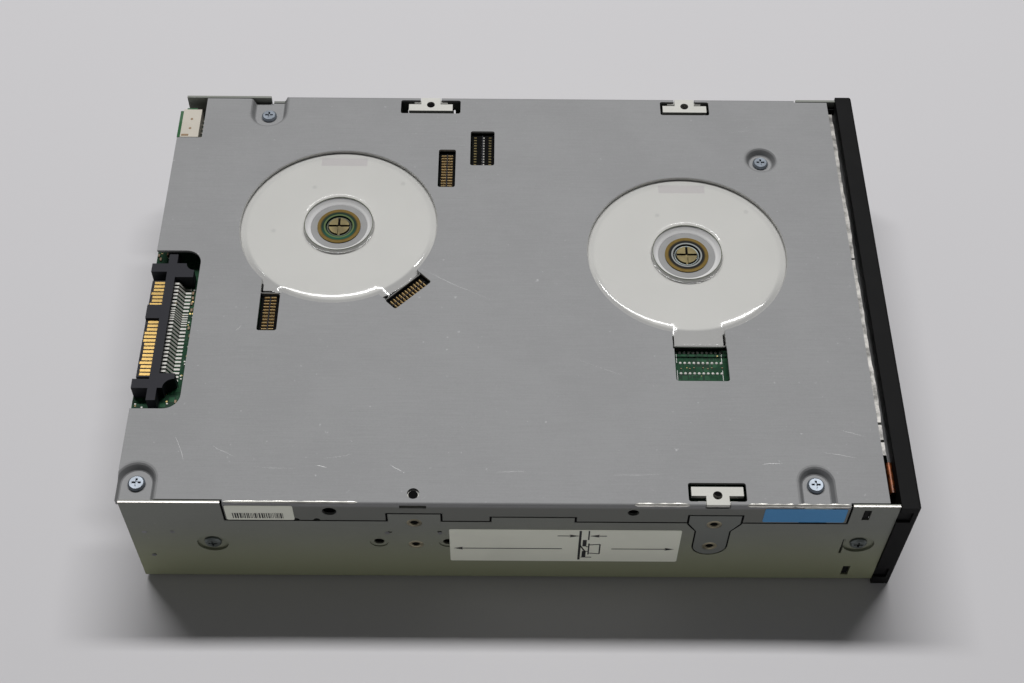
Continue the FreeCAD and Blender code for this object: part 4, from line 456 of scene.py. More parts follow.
@dataclass(frozen=True)
class ClearFilm:
    """Clear polyester sheet: almost unseen face on, mirror-like where it reflects a lamp."""

    name: str
    colour: Colour = (0.95, 0.95, 0.94)

    def material(self) -> bpy.types.Material:
        """Build the material: the share of reflected light is small face on and grows with the slant."""
        g = Graph(self.name)
        slant = g.node("ShaderNodeLayerWeight", inputs={"Blend": 0.5}, out="Facing")
        smear = g.noise(120.0, 4.0, 0.6)
        alpha = (slant.math("POWER", 4.0) * 0.8 + smear * 0.016 + 0.014).math("MINIMUM", 0.9)
        ripple = g.noise(60.0, 2.0, 0.5)
        return g.surface(Base_Color=self.colour, Metallic=1.0, Roughness=smear * 0.1 + 0.07,
                         Alpha=alpha, Normal=g.bump(ripple, 2.6e-4, 0.5))


@dataclass(frozen=True)
class PaperLabel:
    """Printed paper or film label with faint fibre."""

    name: str
    colour: Colour
    roughness: float = 0.55

    def material(self) -> bpy.types.Material:
        """Build the material."""
        g = Graph(self.name)
        fibre = g.noise(1800.0, 4.0, 0.7)
        stain = g.noise(90.0, 3.0, 0.5)
        colour = g.mix(stain.step(0.35, 0.75) * 0.5, self.colour, tuple(c * 0.9 for c in self.colour))
        return g.surface(Base_Color=colour, Roughness=self.roughness, Normal=g.bump(fibre, 6e-6, 0.4))


class Finish(Enum):
    """Every finish on the drive."""

    # cover: the flange below the bend is painted darker, painted shade on the side turned from the lamp
    COVER = SheetSteel("cover_steel", (0.265, 0.266, 0.269), painted_wall_light=(0.175, 0.18, 0.165),
                       wall_light_from=41.0, wall_light_to=39.6)
    # shell: the side walls grow lighter and olive towards the bottom, a painted reflection of the floor
    SHELL = SheetSteel("shell_steel", (0.222, 0.23, 0.208), 41.86 * MM, (0.31, 0.325, 0.21))
    # brackets: the webs down the side wall are painted darker, painted shade on faces turned from the lamp
    BRACKET = SheetSteel("bracket_steel", (0.55, 0.545, 0.51), painted_wall_light=(0.19, 0.20, 0.185),
                         wall_light_from=40.6, wall_light_to=38.0)
    SUNK = BareMetal("sunk_screw", (0.20, 0.225, 0.22), 0.4, 2600.0, 3e-6, 0.7, 0.25)
    COLLAR = BareMetal("tapped_collar", (0.42, 0.375, 0.26), 0.35, 2600.0, 6e-6, 0.6, 0.4)
    # bright metal for strips along the cover's bend: a painted highlight
    BEND = BareMetal("burnished_bend", (0.80, 0.78, 0.73), 0.42, 2600.0, 3e-6, 0.9, 0.25)
    RACE = BareMetal("race_steel", (0.06, 0.07, 0.05), 0.5, 2600.0, 2e-6, 0.3, 0.2)
    ZINC = BareMetal("zinc_screw", (0.27, 0.305, 0.35), 0.42, 2600.0, 3e-6, 0.6, 0.3)
    STEEL = BareMetal("bright_steel", (0.60, 0.60, 0.61), 0.28, 2600.0)
    DARK_STEEL = BareMetal("lamination_steel", (0.26, 0.26, 0.27), 0.45, 2600.0)
    CHROME = BareMetal("chromed_strip", (0.82, 0.82, 0.83), 0.12, 900.0, 1.2e-5, 1.0, 0.2)
    CAST = BareMetal("cast_alloy", (0.62, 0.63, 0.64), 0.5, 1500.0, 2.5e-5)
    EYE = BareMetal("motor_eye", (0.205, 0.205, 0.203), 0.5, 2600.0, 4e-6, 0.3)
    EYE_LIP = MouldedPlastic("film_edge", (0.13, 0.145, 0.10), 0.5, dust=0.0, specular=0.1)
    EYE_WALL = MouldedPlastic("eye_wall", (0.70, 0.695, 0.69), 0.5, dust=0.02, specular=0.2)
    # a lighter grey band laid over the shaded cut edge round the motor openings: painted light
    BEAD = MouldedPlastic("film_bond", (0.42, 0.418, 0.405), 0.4, dust=0.03, specular=0.3)
    GOLD = BareMetal("gold_contact", (0.42, 0.275, 0.08), 0.35, 4000.0, 2e-6, 0.6)
    SPRING = BareMetal("gilt_spring", (0.36, 0.255, 0.115), 0.4, 4000.0, 2e-6, 0.6)
    BRASS = BareMetal("brass_cap", (0.17, 0.135, 0.055), 0.42, 3000.0, 5e-6, 0.6, 0.3)
    TIN = BareMetal("tinned_lead", (0.50, 0.49, 0.455), 0.5, 5000.0, 3e-6, 0.2)
    COPPER = BareMetal("enamelled_wire", (0.72, 0.30, 0.12), 0.3, 5000.0, 8e-6)
    BLACK = MouldedPlastic("black_moulding", (0.0060, 0.0060, 0.0062), 0.7, dust=0.003, specular=0.12)
    INK_BLACK = MouldedPlastic("connector_black", (0.013, 0.013, 0.019), 0.6, 3800.0, 8e-6, 0.004,
                               specular=0.22)
    PIT = MouldedPlastic("dark_recess", (0.004, 0.004, 0.004), 0.8, dust=0.001, specular=0.05)
    GREY = MouldedPlastic("grey_moulding", (0.10, 0.105, 0.11), 0.42)
    REEL = MouldedPlastic("reel_moulding", (0.28, 0.29, 0.30), 0.38)
    LENS = MouldedPlastic("light_lens", (0.55, 0.58, 0.50), 0.15, dust=0.0, alpha=0.75)
    CREAM = MouldedPlastic("cream_moulding", (0.53, 0.49, 0.42), 0.42, 3600.0, 5e-6, 0.03)
    CERAMIC = MouldedPlastic("head_ceramic", (0.07, 0.065, 0.06), 0.1, 5000.0, 1e-6, 0.01)
    BOARD = CircuitLaminate("circuit_board")
    FILM = ClearFilm("blister_film")
    PAPER = PaperLabel("white_label", (0.80, 0.81, 0.70))
    BLUE = PaperLabel("blue_label", (0.06, 0.27, 0.56))
    INK = PaperLabel("label_ink", (0.008, 0.008, 0.009))
    SILK = PaperLabel("board_print", (0.75, 0.76, 0.74))
    SCRATCH = BareMetal("scratch_metal", (0.50, 0.50, 0.50), 0.5, 6000.0, 2e-6, 0.5)
    # copper flex darkened as painted shade of the front gap, with noise leaving orange patches as painted
    # glints
    FLEX = BareMetal("flex_copper", (0.24, 0.065, 0.014), 0.4, 9000.0, 1e-5, 0.4, 0.9)
    EDGE = BareMetal("strip_edge", (0.46, 0.445, 0.42), 0.45, 5200.0, 2e-5, 0.4, 0.5)
    GREEN_EDGE = MouldedPlastic("board_edge", (0.015, 0.095, 0.028), 0.5, specular=0.2)
    SOLDER = BareMetal("solder", (0.62, 0.62, 0.58), 0.5, 5000.0, 4e-6, 0.15)
    TANTALUM = MouldedPlastic("small_part_tan", (0.26, 0.17, 0.09), 0.5, 5000.0, 4e-6, 0.02)

    def get(self) -> bpy.types.Material:
        """The finish's material, built once."""
        if self.value.name not in bpy.data.materials:
            self.value.material()
        return bpy.data.materials[self.value.name]


NODE_FINISH: dict[Finish, tuple[str, ...]] = {
    Finish.COVER: ("bottom_cover",),
    Finish.SHELL: ("shell",),
    Finish.BRACKET: ("mount_brackets",),
    Finish.ZINC: ("cover_screws",),
    Finish.SUNK: ("side_screws",),
    Finish.STEEL: ("door_pin", "door_spring", "takeup_rotor", "supply_rotor", "roller_pins",
                   "head_frame", "head_rods", "lead_screw", "cradle", "sled", "lid_posts", "worm",
                   "loader_motor", "takeup_spindle", "supply_spindle"),
    Finish.DARK_STEEL: ("stator_cores",),
    Finish.CHROME: ("earthing_strip",),
    Finish.CAST: ("deck", "head_carriage"),
    Finish.EYE: ("takeup_motor_base", "supply_motor_base"),
    Finish.GOLD: ("port_contacts",),
    Finish.BRASS: ("takeup_spindle_cap", "supply_spindle_cap"),
    Finish.TIN: ("port_tails",),
    Finish.COPPER: ("motor_coils",),
    Finish.FLEX: ("panel_flex",),
    Finish.BLACK: ("bezel", "cartridge_door", "eject_button", "pin_blocks"),
    Finish.INK_BLACK: ("port_housing",),
    Finish.GREY: ("guide_roller_1", "guide_roller_2", "guide_roller_3", "guide_roller_4", "threading_arm",
                  "loader_gear", "loader_motor_holder", "supply_clutch"),
    Finish.REEL: ("takeup_reel",),
    Finish.LENS: ("status_lights",),
    Finish.CREAM: ("service_connector",),
    Finish.CERAMIC: ("tape_head",),
    Finish.BOARD: ("main_board", "front_board", "motor_drive_board"),
    Finish.FILM: ("takeup_film", "supply_film"),
    Finish.PAPER: ("white_labels",),
    Finish.BLUE: ("blue_label",),
}


# ---------------------------------------------------------------- mesh helpers
def add_piece(name: str, points: np.ndarray, faces: np.ndarray, finish: Finish, body: str = CHASSIS,
              smooth: bool = True) -> bpy.types.Object:
    """Make one mesh piece that rides on a body.

    Args:
        name: the piece's name.
        points: vertex places, one row each.
        faces: vertex numbers of each face.
        finish: its finish.
        body: the body it rides on.
        smooth: whether its faces are shaded smooth.

    Returns:
        The new object.
    """
    mesh = bpy.data.meshes.new(name)
    mesh.from_pydata(points.tolist(), [], faces.tolist())
    mesh.polygons.foreach_set("use_smooth", [smooth] * len(mesh.polygons))
    mesh.materials.append(finish.get())
    mesh.update()
    piece = bpy.data.objects.new(name, mesh)
    bpy.context.scene.collection.objects.link(piece)
    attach(piece, body)
    log.info("%s: %d faces on %s", name, len(mesh.polygons), body)
    return piece


def grid_faces(rows: int, columns: int, close_rows: bool = False, close_columns: bool = False) -> np.ndarray:
    """Quads of a grid of vertices, row by row.

    Args:
        rows: vertices down.
        columns: vertices across.
        close_rows: whether the last row joins the first.
        close_columns: whether the last column joins the first.

    Returns:
        One row of four vertex numbers per quad.
    """
    i = np.arange(rows if close_rows else rows - 1)[:, None]
    j = np.arange(columns if close_columns else columns - 1)[None, :]
    ni, nj = (i + 1) % rows, (j + 1) % columns
    corners = (i * columns + j, i * columns + nj, ni * columns + nj, ni * columns + j)
    return np.stack([np.broadcast_to(c, (i.size, j.size)).ravel() for c in corners], axis=1)


def turned(profile: list[Pair], centre: Pair, steps: int = 96, closed: bool = False) -> Mesh:
    """Surface of a profile (radius, height) carried round an upright axis.

    Args:
        profile: radius and height of each ring.
        centre: the axis' place.
        steps: points round the circle.
        closed: whether the last ring joins the first.

    Returns:
        Vertices and quads.
    """
    r, z = np.array(profile).T
    turn = np.linspace(0.0, 2.0 * math.pi, steps, endpoint=False)
    x = centre[0] + r[:, None] * np.cos(turn)[None, :]
    y = centre[1] + r[:, None] * np.sin(turn)[None, :]
    points = np.stack([x, y, np.broadcast_to(z[:, None], x.shape)], axis=2).reshape(-1, 3)
    return points, grid_faces(len(profile), steps, close_rows=closed, close_columns=True)[:, ::-1]


def joined(parts: list[Mesh]) -> Mesh:
    """Several meshes of quads as one.

    Args:
        parts: vertices and quads of each.

    Returns:
        Vertices and quads together.
    """
    offsets = np.cumsum([0] + [len(p) for p, _ in parts[:-1]])
    return np.vstack([p for p, _ in parts]), np.vstack([f + o for (_, f), o in zip(parts, offsets)])


def copies(points: np.ndarray, faces: np.ndarray, places: np.ndarray) -> Mesh:
    """The same small mesh at many places.

    Args:
        points: its vertices round the origin.
        faces: its quads.
        places: one row per copy.

    Returns:
        Vertices and quads of all copies.
    """
    every = (points[None, :, :] + places[:, None, :]).reshape(-1, 3)
    first = np.arange(len(places)) * len(points)
    return every, (faces[None, :, :] + first[:, None, None]).reshape(-1, faces.shape[1])


def soft_block(size: Triple, edge: float) -> Mesh:
    """Block on its base with sloping shoulders: a stack of rectangles joined into a closed skin.

    Args:
        size: length, width and height in millimetres.
        edge: how far the shoulders come in and down, in millimetres.

    Returns:
        Vertices and quads.
    """
    long, wide, tall = (v * MM for v in size)
    edge *= MM
    half = np.array([long, wide]) / 2
    levels = [(0.0, 0.0), (tall - edge, 0.0), (tall, edge)]
    corner = np.array([[-1, -1], [1, -1], [1, 1], [-1, 1]])
    points = [np.c_[corner * (half - inset), np.full(4, z)] for z, inset in levels]
    faces = grid_faces(3, 4, close_columns=True).tolist() + [[8, 9, 10, 11], [3, 2, 1, 0]]
    return np.vstack(points), np.array(faces)


def spun(points: np.ndarray, turn: float, place: Triple) -> np.ndarray:
    """Turn points about Z and move them.

    Args:
        points: vertices.
        turn: radians.
        place: where the origin goes.

    Returns:
        The moved vertices.
    """
    c, s = math.cos(turn), math.sin(turn)
    return points @ np.array([[c, s, 0], [-s, c, 0], [0, 0, 1]]) + np.array(place)


def side_strip(start: Pair, end: Pair, wide: float, face: float) -> Mesh:
    """Flat strip on the near side, from one place to another.

    Args:
        start: millimetres ahead of the rear edge and below the underside.
        end: the other end.
        wide: width in millimetres.
        face: how far it stands out of the wall, in millimetres.

    Returns:
        Vertices and one quad.
    """
    a, b = np.array(start), np.array(end)
    side = np.array([a[1] - b[1], b[0] - a[0]]) / np.hypot(*(b - a)) * wide / 2
    flat = np.array([a - side, b - side, b + side, a + side])
    return side_points(flat, face), np.array([[3, 2, 1, 0]])


def side_points(flat: np.ndarray, face: float | np.ndarray) -> np.ndarray:
    """Places on the near side from millimetres ahead, below and outwards."""
    out = DATUM.near - np.zeros(len(flat)) - np.asarray(face) * MM
    return np.stack([DATUM.rear + flat[:, 0] * MM, out, DATUM.under - flat[:, 1] * MM], axis=1)


def side_ring(profile: tuple[Pair, ...], centre: Pair, steps: int) -> Mesh:
    """Surface of a profile (radius, how far out) carried round an axis that leaves the near side.

    Args:
        profile: radius and outward place of each ring, in millimetres.
        centre: millimetres ahead of the rear edge and below the underside.
        steps: points round the circle.

    Returns:
        Vertices and quads.
    """
    turn = np.linspace(0, 2 * math.pi, steps, endpoint=False)
    r, out = np.array(profile).T
    ahead, down = np.outer(r, np.cos(turn)).ravel(), np.outer(r, np.sin(turn)).ravel()
    flat = np.stack([centre[0] + ahead, centre[1] + down], axis=1)
    return side_points(flat, np.repeat(out, steps)), grid_faces(len(profile), steps, close_columns=True)


# ---------------------------------------------------------------- sub-assemblies
@dataclass
class Datum:
    """The drive's own places: metres from its rear edge, near side and underside."""

    rear: float = -101.5 * MM
    near: float = -73.025 * MM
    under: float = 41.9 * MM

    def at(self, x: float, y: float, depth: float = 0.0) -> Triple:
        """A place from millimetres ahead, across and below the underside."""
        return self.rear + x * MM, self.near + y * MM, self.under - depth * MM


DATUM = Datum()


@dataclass
class MotorFilm:
    """Clear film bonded under the cover across a motor opening, blistered up over the motor."""

    node: str
    centre: Pair
    necks: tuple[Neck, ...]
    stops: tuple[tuple[Pair, ...], ...]
    shoulders: tuple[Pair, ...]
    radius: float = 29.1
    eye: float = 10.05
    low: float = -0.83
    rise: float = 1.14
    sheet: float = 0.07
    columns: int = 360
    rows: int = 44
    # inset and height of each ring of the painted light band over the cut edge
    band_rings: tuple[Pair, ...] = ((0.02, -0.06), (0.10, -0.10), (0.24, -0.70), (0.02, -0.74))

    def corners(self, neck: Neck) -> np.ndarray:
        """Corners of a neck from the motor's axis, in millimetres: outer end first."""
        (x0, x1, y0, y1), degrees = neck
        turn = math.radians(degrees)
        flat = np.array([[x0, y0], [x1, y0], [x1, y1], [x0, y1]])
        return flat @ np.array([[math.cos(turn), math.sin(turn)], [-math.sin(turn), math.cos(turn)]])

    def crossings(self, outline: np.ndarray, turn: np.ndarray) -> np.ndarray:
        """Distances at which rays from the axis cross each edge of an outline.

        Args:
            outline: corners in millimetres from the axis.
            turn: ray directions in radians.

        Returns:
            One row per edge, one column per ray, with nan where there is no crossing.
        """
        q = np.roll(outline, -1, axis=0) - outline
        d = np.stack([np.cos(turn), np.sin(turn)])
        cross = q[:, 0:1] * d[1] - q[:, 1:2] * d[0]
        with np.errstate(divide="ignore", invalid="ignore"):
            t = (q[:, 0:1] * outline[:, 1:2] - q[:, 1:2] * outline[:, 0:1]) / cross
            s = (d[0] * outline[:, 1:2] - d[1] * outline[:, 0:1]) / cross
        return np.where((s >= 0) & (s <= 1) & (t > 0), t, np.nan)

    def rim(self, turn: np.ndarray) -> np.ndarray:
        """Reach of the opening: the circle, longer along the necks, cut short by the windows.

        Args:
            turn: directions from the axis, in radians.

        Returns:
            Millimetres from the axis in each direction.
        """
        reach = np.full(turn.shape, self.radius)
        with np.errstate(all="ignore"):
            for neck in self.necks:
                found = np.nan_to_num(self.crossings(self.corners(neck), turn), nan=-1.0)
                reach = np.fmax(reach, np.nanmax(found, axis=0))
            for stop in self.stops:
                found = np.nan_to_num(self.crossings(np.array(stop) - np.array(self.centre), turn), nan=1e9)
                reach = np.fmin(reach, np.nanmin(found, axis=0) - 0.1)
        return reach

    def walls(self) -> np.ndarray:
        """Points along the cover's cut edge: the circle outside the necks, and each neck's two sides."""
        turn = np.linspace(-math.pi, math.pi, 721)[:-1]
        keep = np.ones(turn.size, bool)
        sides = []
        for neck in self.necks:
            quad = self.corners(neck)
            keep &= ~(np.nanmax(np.nan_to_num(self.crossings(quad, turn), nan=-1.0), axis=0) > self.radius)
            share = np.linspace(0, 1, 40)[:, None]
            for outer, inner in ((quad[0], quad[3]), (quad[1], quad[2])):
                line = outer + (inner - outer) * share
                sides.append(line[np.hypot(*line.T) > self.radius])
        circle = np.stack([np.cos(turn), np.sin(turn)], axis=1)[keep] * self.radius
        return np.vstack([circle] + sides)

    def build(self) -> bpy.types.Object:
        """Blister on a polar grid.

        From the cut edge its height grows as a quarter ellipse, then stays level.
        """
        turn = np.linspace(-math.pi, math.pi, self.columns, endpoint=False)
        rim = self.rim(turn)
        share = np.linspace(0.0, 1.0, self.rows)[:, None] ** 0.7
        radius = self.eye + (rim[None, :] - self.eye) * share
        flat = np.stack([radius * np.cos(turn), radius * np.sin(turn)], axis=2)
        walls = self.walls()
        gap = np.sqrt(((flat[:, :, None, :] - walls[None, None, :, :]) ** 2).sum(axis=3).min(axis=2))
        angles, widths = np.array(self.shoulders).T
        wide = np.interp(np.degrees(turn), angles, widths, period=360.0)[None, :]
        lift = self.rise * np.sqrt(1 - (1 - np.clip(gap / wide, 0.0, 1.0)) ** 2)
        x = DATUM.rear + (self.centre[0] + flat[:, :, 0]) * MM
        y = DATUM.near + (self.centre[1] + flat[:, :, 1]) * MM
        top = np.stack([x, y, DATUM.under + (self.low + lift) * MM], axis=2)
        under = top[::-1] - np.array([0.0, 0.0, self.sheet * MM])
        points = np.concatenate([top, under]).reshape(-1, 3)
        faces = grid_faces(self.rows * 2, self.columns, close_rows=True, close_columns=True)
        piece = add_piece(self.node + "_blister", points, faces[:, ::-1], Finish.FILM)
        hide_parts(self.node)
        self.paint_band_over_rim_shade(turn, rim)
        return piece

    def paint_band_over_rim_shade(self, turn: np.ndarray, rim: np.ndarray) -> None:
        """Painted light: a lighter grey sloping band from the cover's cut edge down to the film's foot, laid
        over the cut edge's shade.

        Args:
            turn: directions from the axis, in radians.
            rim: reach of the opening in each direction, in millimetres.
        """
        # painted light: the band covers the shaded cut edge with a lighter grey
        inset, height = np.array(self.band_rings).T[:, :, None]
        radius = rim[None, :] - inset
        x = DATUM.rear + (self.centre[0] + radius * np.cos(turn)) * MM
        y = DATUM.near + (self.centre[1] + radius * np.sin(turn)) * MM
        z = np.broadcast_to(DATUM.under + height * MM, radius.shape)
        faces = grid_faces(len(self.band_rings), turn.size, close_rows=True, close_columns=True)[:, ::-1]
        add_piece(self.node + "_bond", np.stack([x, y, z], axis=2).reshape(-1, 3), faces, Finish.BEAD)


@dataclass
class SpindleEnd:
    """What shows in the eye of a reel motor: the film's edge, the dished wall and the spindle's race."""

    name: str
    centre: Pair
    race_finish: Finish
    lip: tuple[Pair, ...] = ((10.12, 0.30), (10.08, 0.37), (9.95, 0.37), (9.90, 0.28), (10.02, 0.24))
    dish: tuple[Pair, ...] = ((9.98, 0.24), (9.8, -0.05), (9.25, -0.65), (8.75, -1.12), (8.35, -1.27),
                              (8.3, -1.4), (10.5, -1.4), (10.05, 0.14))
    race: tuple[Pair, ...] = ((3.05, -1.9), (3.1, -1.5), (3.35, -1.3), (3.6, -1.35), (3.78, -1.6),
                              (3.8, -2.05), (3.05, -2.05))

    def build(self) -> None:
        """Turn the film's edge and the dish on the fixed base, and the race on the spindle."""
        x, y, _ = DATUM.at(*self.centre)
        for suffix, profile, finish, body in (("film_edge", self.lip, Finish.EYE_LIP, CHASSIS),
                                              ("eye_dish", self.dish, Finish.EYE_WALL, CHASSIS),
                                              ("race", self.race, self.race_finish, self.name)):
            rings = [(r * MM, DATUM.under + z * MM) for r, z in profile]
            add_piece(self.name + "_" + suffix, *turned(rings, (x, y), closed=True), finish, body)


@dataclass
class PinWindow:
    """Rows of sprung gilt contacts in one board-to-board connector."""

    name: str
    centre: Pair
    length: float
    turn: float = 0.0
    rows: tuple[float, ...] = (-0.95, 0.95)
    width: float = 1.5
    pitch: float = 1.1
    finishes: tuple[Finish, ...] = (Finish.SPRING, Finish.SPRING)
    arch: float = 0.42
    reach: float = 0.62
    depth: float = 1.5
    lift: float = 0.02
    rib: float = 0.35

    def build(self) -> None:
        """Each contact is an arched strip: a half-sine profile along its row, repeated at the pitch."""
        count = int(self.length / self.pitch)
        t = np.linspace(0, 1, 9)
        along, up = (t - 0.5) * self.pitch * self.reach, np.sin(np.pi * t) * self.arch
        profile = np.stack([np.zeros(t.size), along, up], axis=1)
        half = [self.width / 2, 0, 0]
        strip = np.concatenate([profile - half, profile + half]) * MM
        strip[:, 2] -= np.abs(strip[:, 0]) * 0.12
        faces = grid_faces(2, t.size)[:, ::-1]
        place = DATUM.at(*self.centre, self.depth)
        places = (np.arange(count) - (count - 1) / 2) * self.pitch * MM
        for number, (row, finish) in enumerate(zip(self.rows, self.finishes), 1):
            spots = np.stack([np.full(count, row * MM), places, np.full(count, self.lift * MM)], axis=1)
            points, quads = copies(strip, faces, spots)
            add_piece(f"{self.name}_contacts_{number}", spun(points, self.turn, place), quads, finish)
        points, quads = soft_block((self.rib, self.length, self.rib), 0.1)
        add_piece(self.name + "_middle_rib", spun(points, self.turn, place), quads, Finish.INK_BLACK,
                  smooth=False)


@dataclass
class DriveBoardFace:
    """Solder joints, small parts and print on the board in the square window."""

    joints: tuple[float, float] = (148.87, 160.25)
    rows: tuple[float, ...] = (44.0, 47.5, 51.05)
    depth: float = 3.6
    count: int = 10
    dome: Pair = (0.44, 0.3)
    chip: Triple = (0.42, 0.3, 0.22)
    chip_row: float = 45.6
    chip_places: tuple[int, ...] = (0, 2, 3, 5, 6, 7, 9)
    prints: tuple[Triple, ...] = (
        (147.9, 49.4, 3.6), (147.9, 43.4, 3.4), (160.5, 49.4, 3.6), (160.5, 43.4, 3.4))

    def build(self) -> None:
        """Domes are turned quarter ellipses, repeated along three rows; print is thin flat strips."""
        xs = np.linspace(*self.joints, self.count)
        wide, tall = self.dome
        angle = np.linspace(0, math.pi / 2, 5)
        profile = [(wide * math.cos(a) * MM + 1e-6, tall * math.sin(a) * MM) for a in angle]
        spots = np.array([DATUM.at(x, y, self.depth) for y in self.rows for x in xs])
        add_piece("drive_board_joints", *copies(*turned(profile, (0, 0), 12), spots), Finish.SOLDER)
        rng = np.random.default_rng(5)
        spots = np.array([DATUM.at(x + rng.uniform(-0.2, 0.2), self.chip_row + 0.3 * (k % 2), self.depth)
                          for k, x in enumerate(xs)])
        chips = copies(*soft_block(self.chip, 0.05), spots[list(self.chip_places)])
        add_piece("drive_board_chips", *chips, Finish.TANTALUM, smooth=False)
        strips = []
        for x, y, length in self.prints:
            points, faces = soft_block((0.14, length, 0.03), 0.01)
            strips.append((spun(points, 0.0, DATUM.at(x, y, self.depth)), faces))
        add_piece("drive_board_print", *joined(strips), Finish.SILK, smooth=False)


@dataclass
class BoardDetail:
    """Small parts and plated holes on the main board where it shows round the rear plug."""

    depth: float = 6.0
    seed: int = 11
    edge: float = 0.04
    strips: tuple[tuple[float, float, float, float, int], ...] = (
        (9.8, 11.8, 42.0, 74.0, 26), (-1.9, 1.6, 84.8, 88.0, 7), (-1.9, 1.6, 29.8, 34.5, 8),
        (6.5, 11.5, 30.2, 35.5, 7))
    kinds: tuple[tuple[Finish, Triple], ...] = (
        (Finish.TANTALUM, (0.6, 1.0, 0.45)), (Finish.SOLDER, (0.5, 0.45, 0.25)),
        (Finish.BRASS, (0.55, 0.55, 0.06)))

    def build(self) -> None:
        """Scatter small blocks with a fixed seed in the strips that show."""
        rng = np.random.default_rng(self.seed)
        spots = [[] for _ in self.kinds]
        for x0, x1, y0, y1, count in self.strips:
            for k in range(count):
                x = rng.uniform(x0, x1)
                y = y0 + (y1 - y0) * (k + rng.uniform(0.2, 0.8)) / count
                spots[int(rng.integers(0, 3))].append(DATUM.at(x, y, self.depth))
        for (finish, size), places in zip(self.kinds, spots):
            blocks = copies(*soft_block(size, self.edge), np.array(places))
            add_piece("main_board_" + finish.value.name, *blocks, finish, smooth=False)


@dataclass
class LabelPrint:
    """Line drawing on the long label, round its middle, and plain bars on the small one."""

    face: float = 0.13
    line: float = 0.38
    middle: float = 120.8
    level: float = 23.6
    upper: float = 16.4
    ends: Pair = (86.4, 146.2)
    bars: tuple[float, float, float, float] = (28.9, 42.4, 5.0, 7.7)
    widths: tuple[float, ...] = (0.14, 0.14, 0.28, 0.42)
    gaps: tuple[float, ...] = (0.14, 0.2, 0.3)
    seed: int = 4

    def stroke(self, x0: float, d0: float, x1: float, d1: float, wide: float) -> Mesh:
        """One straight stroke on the label's face."""
        return side_strip((x0, d0), (x1, d1), wide, self.face)

    def arrow(self, x: float, depth: float, way: float) -> Mesh:
        """Arrowhead with its tip at x, pointing along way (+1 or -1)."""
        back, notch, half = x - way * 2.6, x - way * 2.2, 0.75
        flat = np.array([[x, depth], [back, depth - half], [notch, depth], [back, depth + half]])
        return side_points(flat, self.face), np.array([[0, 1, 2, 3]] if way < 0 else [[3, 2, 1, 0]])

    def build(self) -> None:
        """Draw the strokes, arrowheads and bars as flat ink."""
        w, m = self.line, self.middle
        start, end = self.ends
        strokes = [
            (start + 1.1, self.level, m - 5.0, self.level, w),
            (m + 8.4, self.level, end - 0.7, self.level, w),
            (m - 0.3, 13.6, m - 0.3, 29.8, w * 1.7), (m + 2.0, 13.6, m + 2.0, 18.6, w),
            (m - 6.4, self.upper, m - 0.8, self.upper, w), (m + 2.6, self.upper, m + 6.8, self.upper, w),
            (m + 1.0, 18.6, m + 1.0, 22.2, w * 2.8), (m + 1.0, 24.8, m + 1.0, 28.2, w * 2.8),
            (m - 0.2, 21.6, m + 1.4, 25.4, w * 1.2), (m + 0.2, 28.4, m + 3.2, 28.4, w),
            (m + 2.2, 21.4, m + 5.2, 21.0, w), (m + 2.2, 26.0, m + 5.2, 26.4, w),
            (m + 5.2, 21.0, m + 5.2, 26.4, w), (m + 2.2, 20.6, m + 2.2, 26.8, w),
            (m + 1.4, 22.4, m + 2.2, 22.4, w), (m + 1.4, 25.0, m + 2.2, 25.0, w)]
        parts = [self.stroke(*s) for s in strokes]
        parts += [self.arrow(start, self.level, -1), self.arrow(end, self.level, 1),
                  self.arrow(m - 0.6, self.upper, 1), self.arrow(m + 2.3, self.upper, -1)]
        rng = np.random.default_rng(self.seed)
        x, last, top, low = self.bars
        while x < last:
            wide = float(rng.choice(self.widths))
            parts.append(self.stroke(x + wide / 2, top, x + wide / 2, low, wide))
            x += wide + float(rng.choice(self.gaps))
        add_piece("label_ink", *joined(parts), Finish.INK, smooth=False)


@dataclass
class Scratches:
    """Hairline scratches and scuffs in the cover's zinc."""

    lift: float = 0.012
    seed: int = 8
    marks: tuple[tuple[float, float, float, float, float], ...] = (
        (75.0, 78.0, 96.0, 66.5, 0.10), (22.0, 17.6, 29.0, 14.0, 0.09), (12.5, 20.0, 15.5, 12.5, 0.12),
        (50.5, 11.5, 53.5, 10.9, 0.22), (70.0, 11.8, 74.0, 9.2, 0.16), (52.0, 13.5, 60.0, 15.2, 0.07),
        (168.0, 12.6, 173.5, 13.0, 0.16), (184.0, 16.5, 193.5, 14.8, 0.11), (190.0, 23.5, 196.5, 21.5, 0.12),
        (120.0, 46.0, 133.0, 40.5, 0.06), (98.0, 9.8, 106.0, 10.0, 0.09), (24.5, 55.0, 26.0, 57.2, 0.13),
        (168.0, 131.5, 176.0, 132.8, 0.07), (128.0, 9.0, 141.0, 9.4, 0.08), (34.0, 11.0, 45.0, 10.4, 0.06))

    def build(self) -> None:
        """Each mark is a ribbon that tapers to both ends and wavers a little."""
        rng = np.random.default_rng(self.seed)
        parts = []
        t = np.linspace(0, 1, 14)
        for x0, y0, x1, y1, wide in self.marks:
            run = np.array([x1 - x0, y1 - y0])
            side = np.array([-run[1], run[0]]) / np.hypot(*run)
            waver = np.cumsum(rng.normal(0, 0.05, t.size)) * np.sin(np.pi * t)
            line = np.array([x0, y0]) + t[:, None] * run + waver[:, None] * side
            taper = np.sin(np.pi * t) ** 0.6 * rng.uniform(0.5, 1.1, t.size)
            half = (wide * 0.6 * taper / 2)[:, None] * side
            flat = np.vstack([line - half, line + half])
            height = np.full(len(flat), DATUM.under + self.lift * MM)
            points = np.stack([DATUM.rear + flat[:, 0] * MM, DATUM.near + flat[:, 1] * MM, height], axis=1)
            parts.append((points, grid_faces(2, t.size)))
        add_piece("cover_scratches", *joined(parts), Finish.SCRATCH)


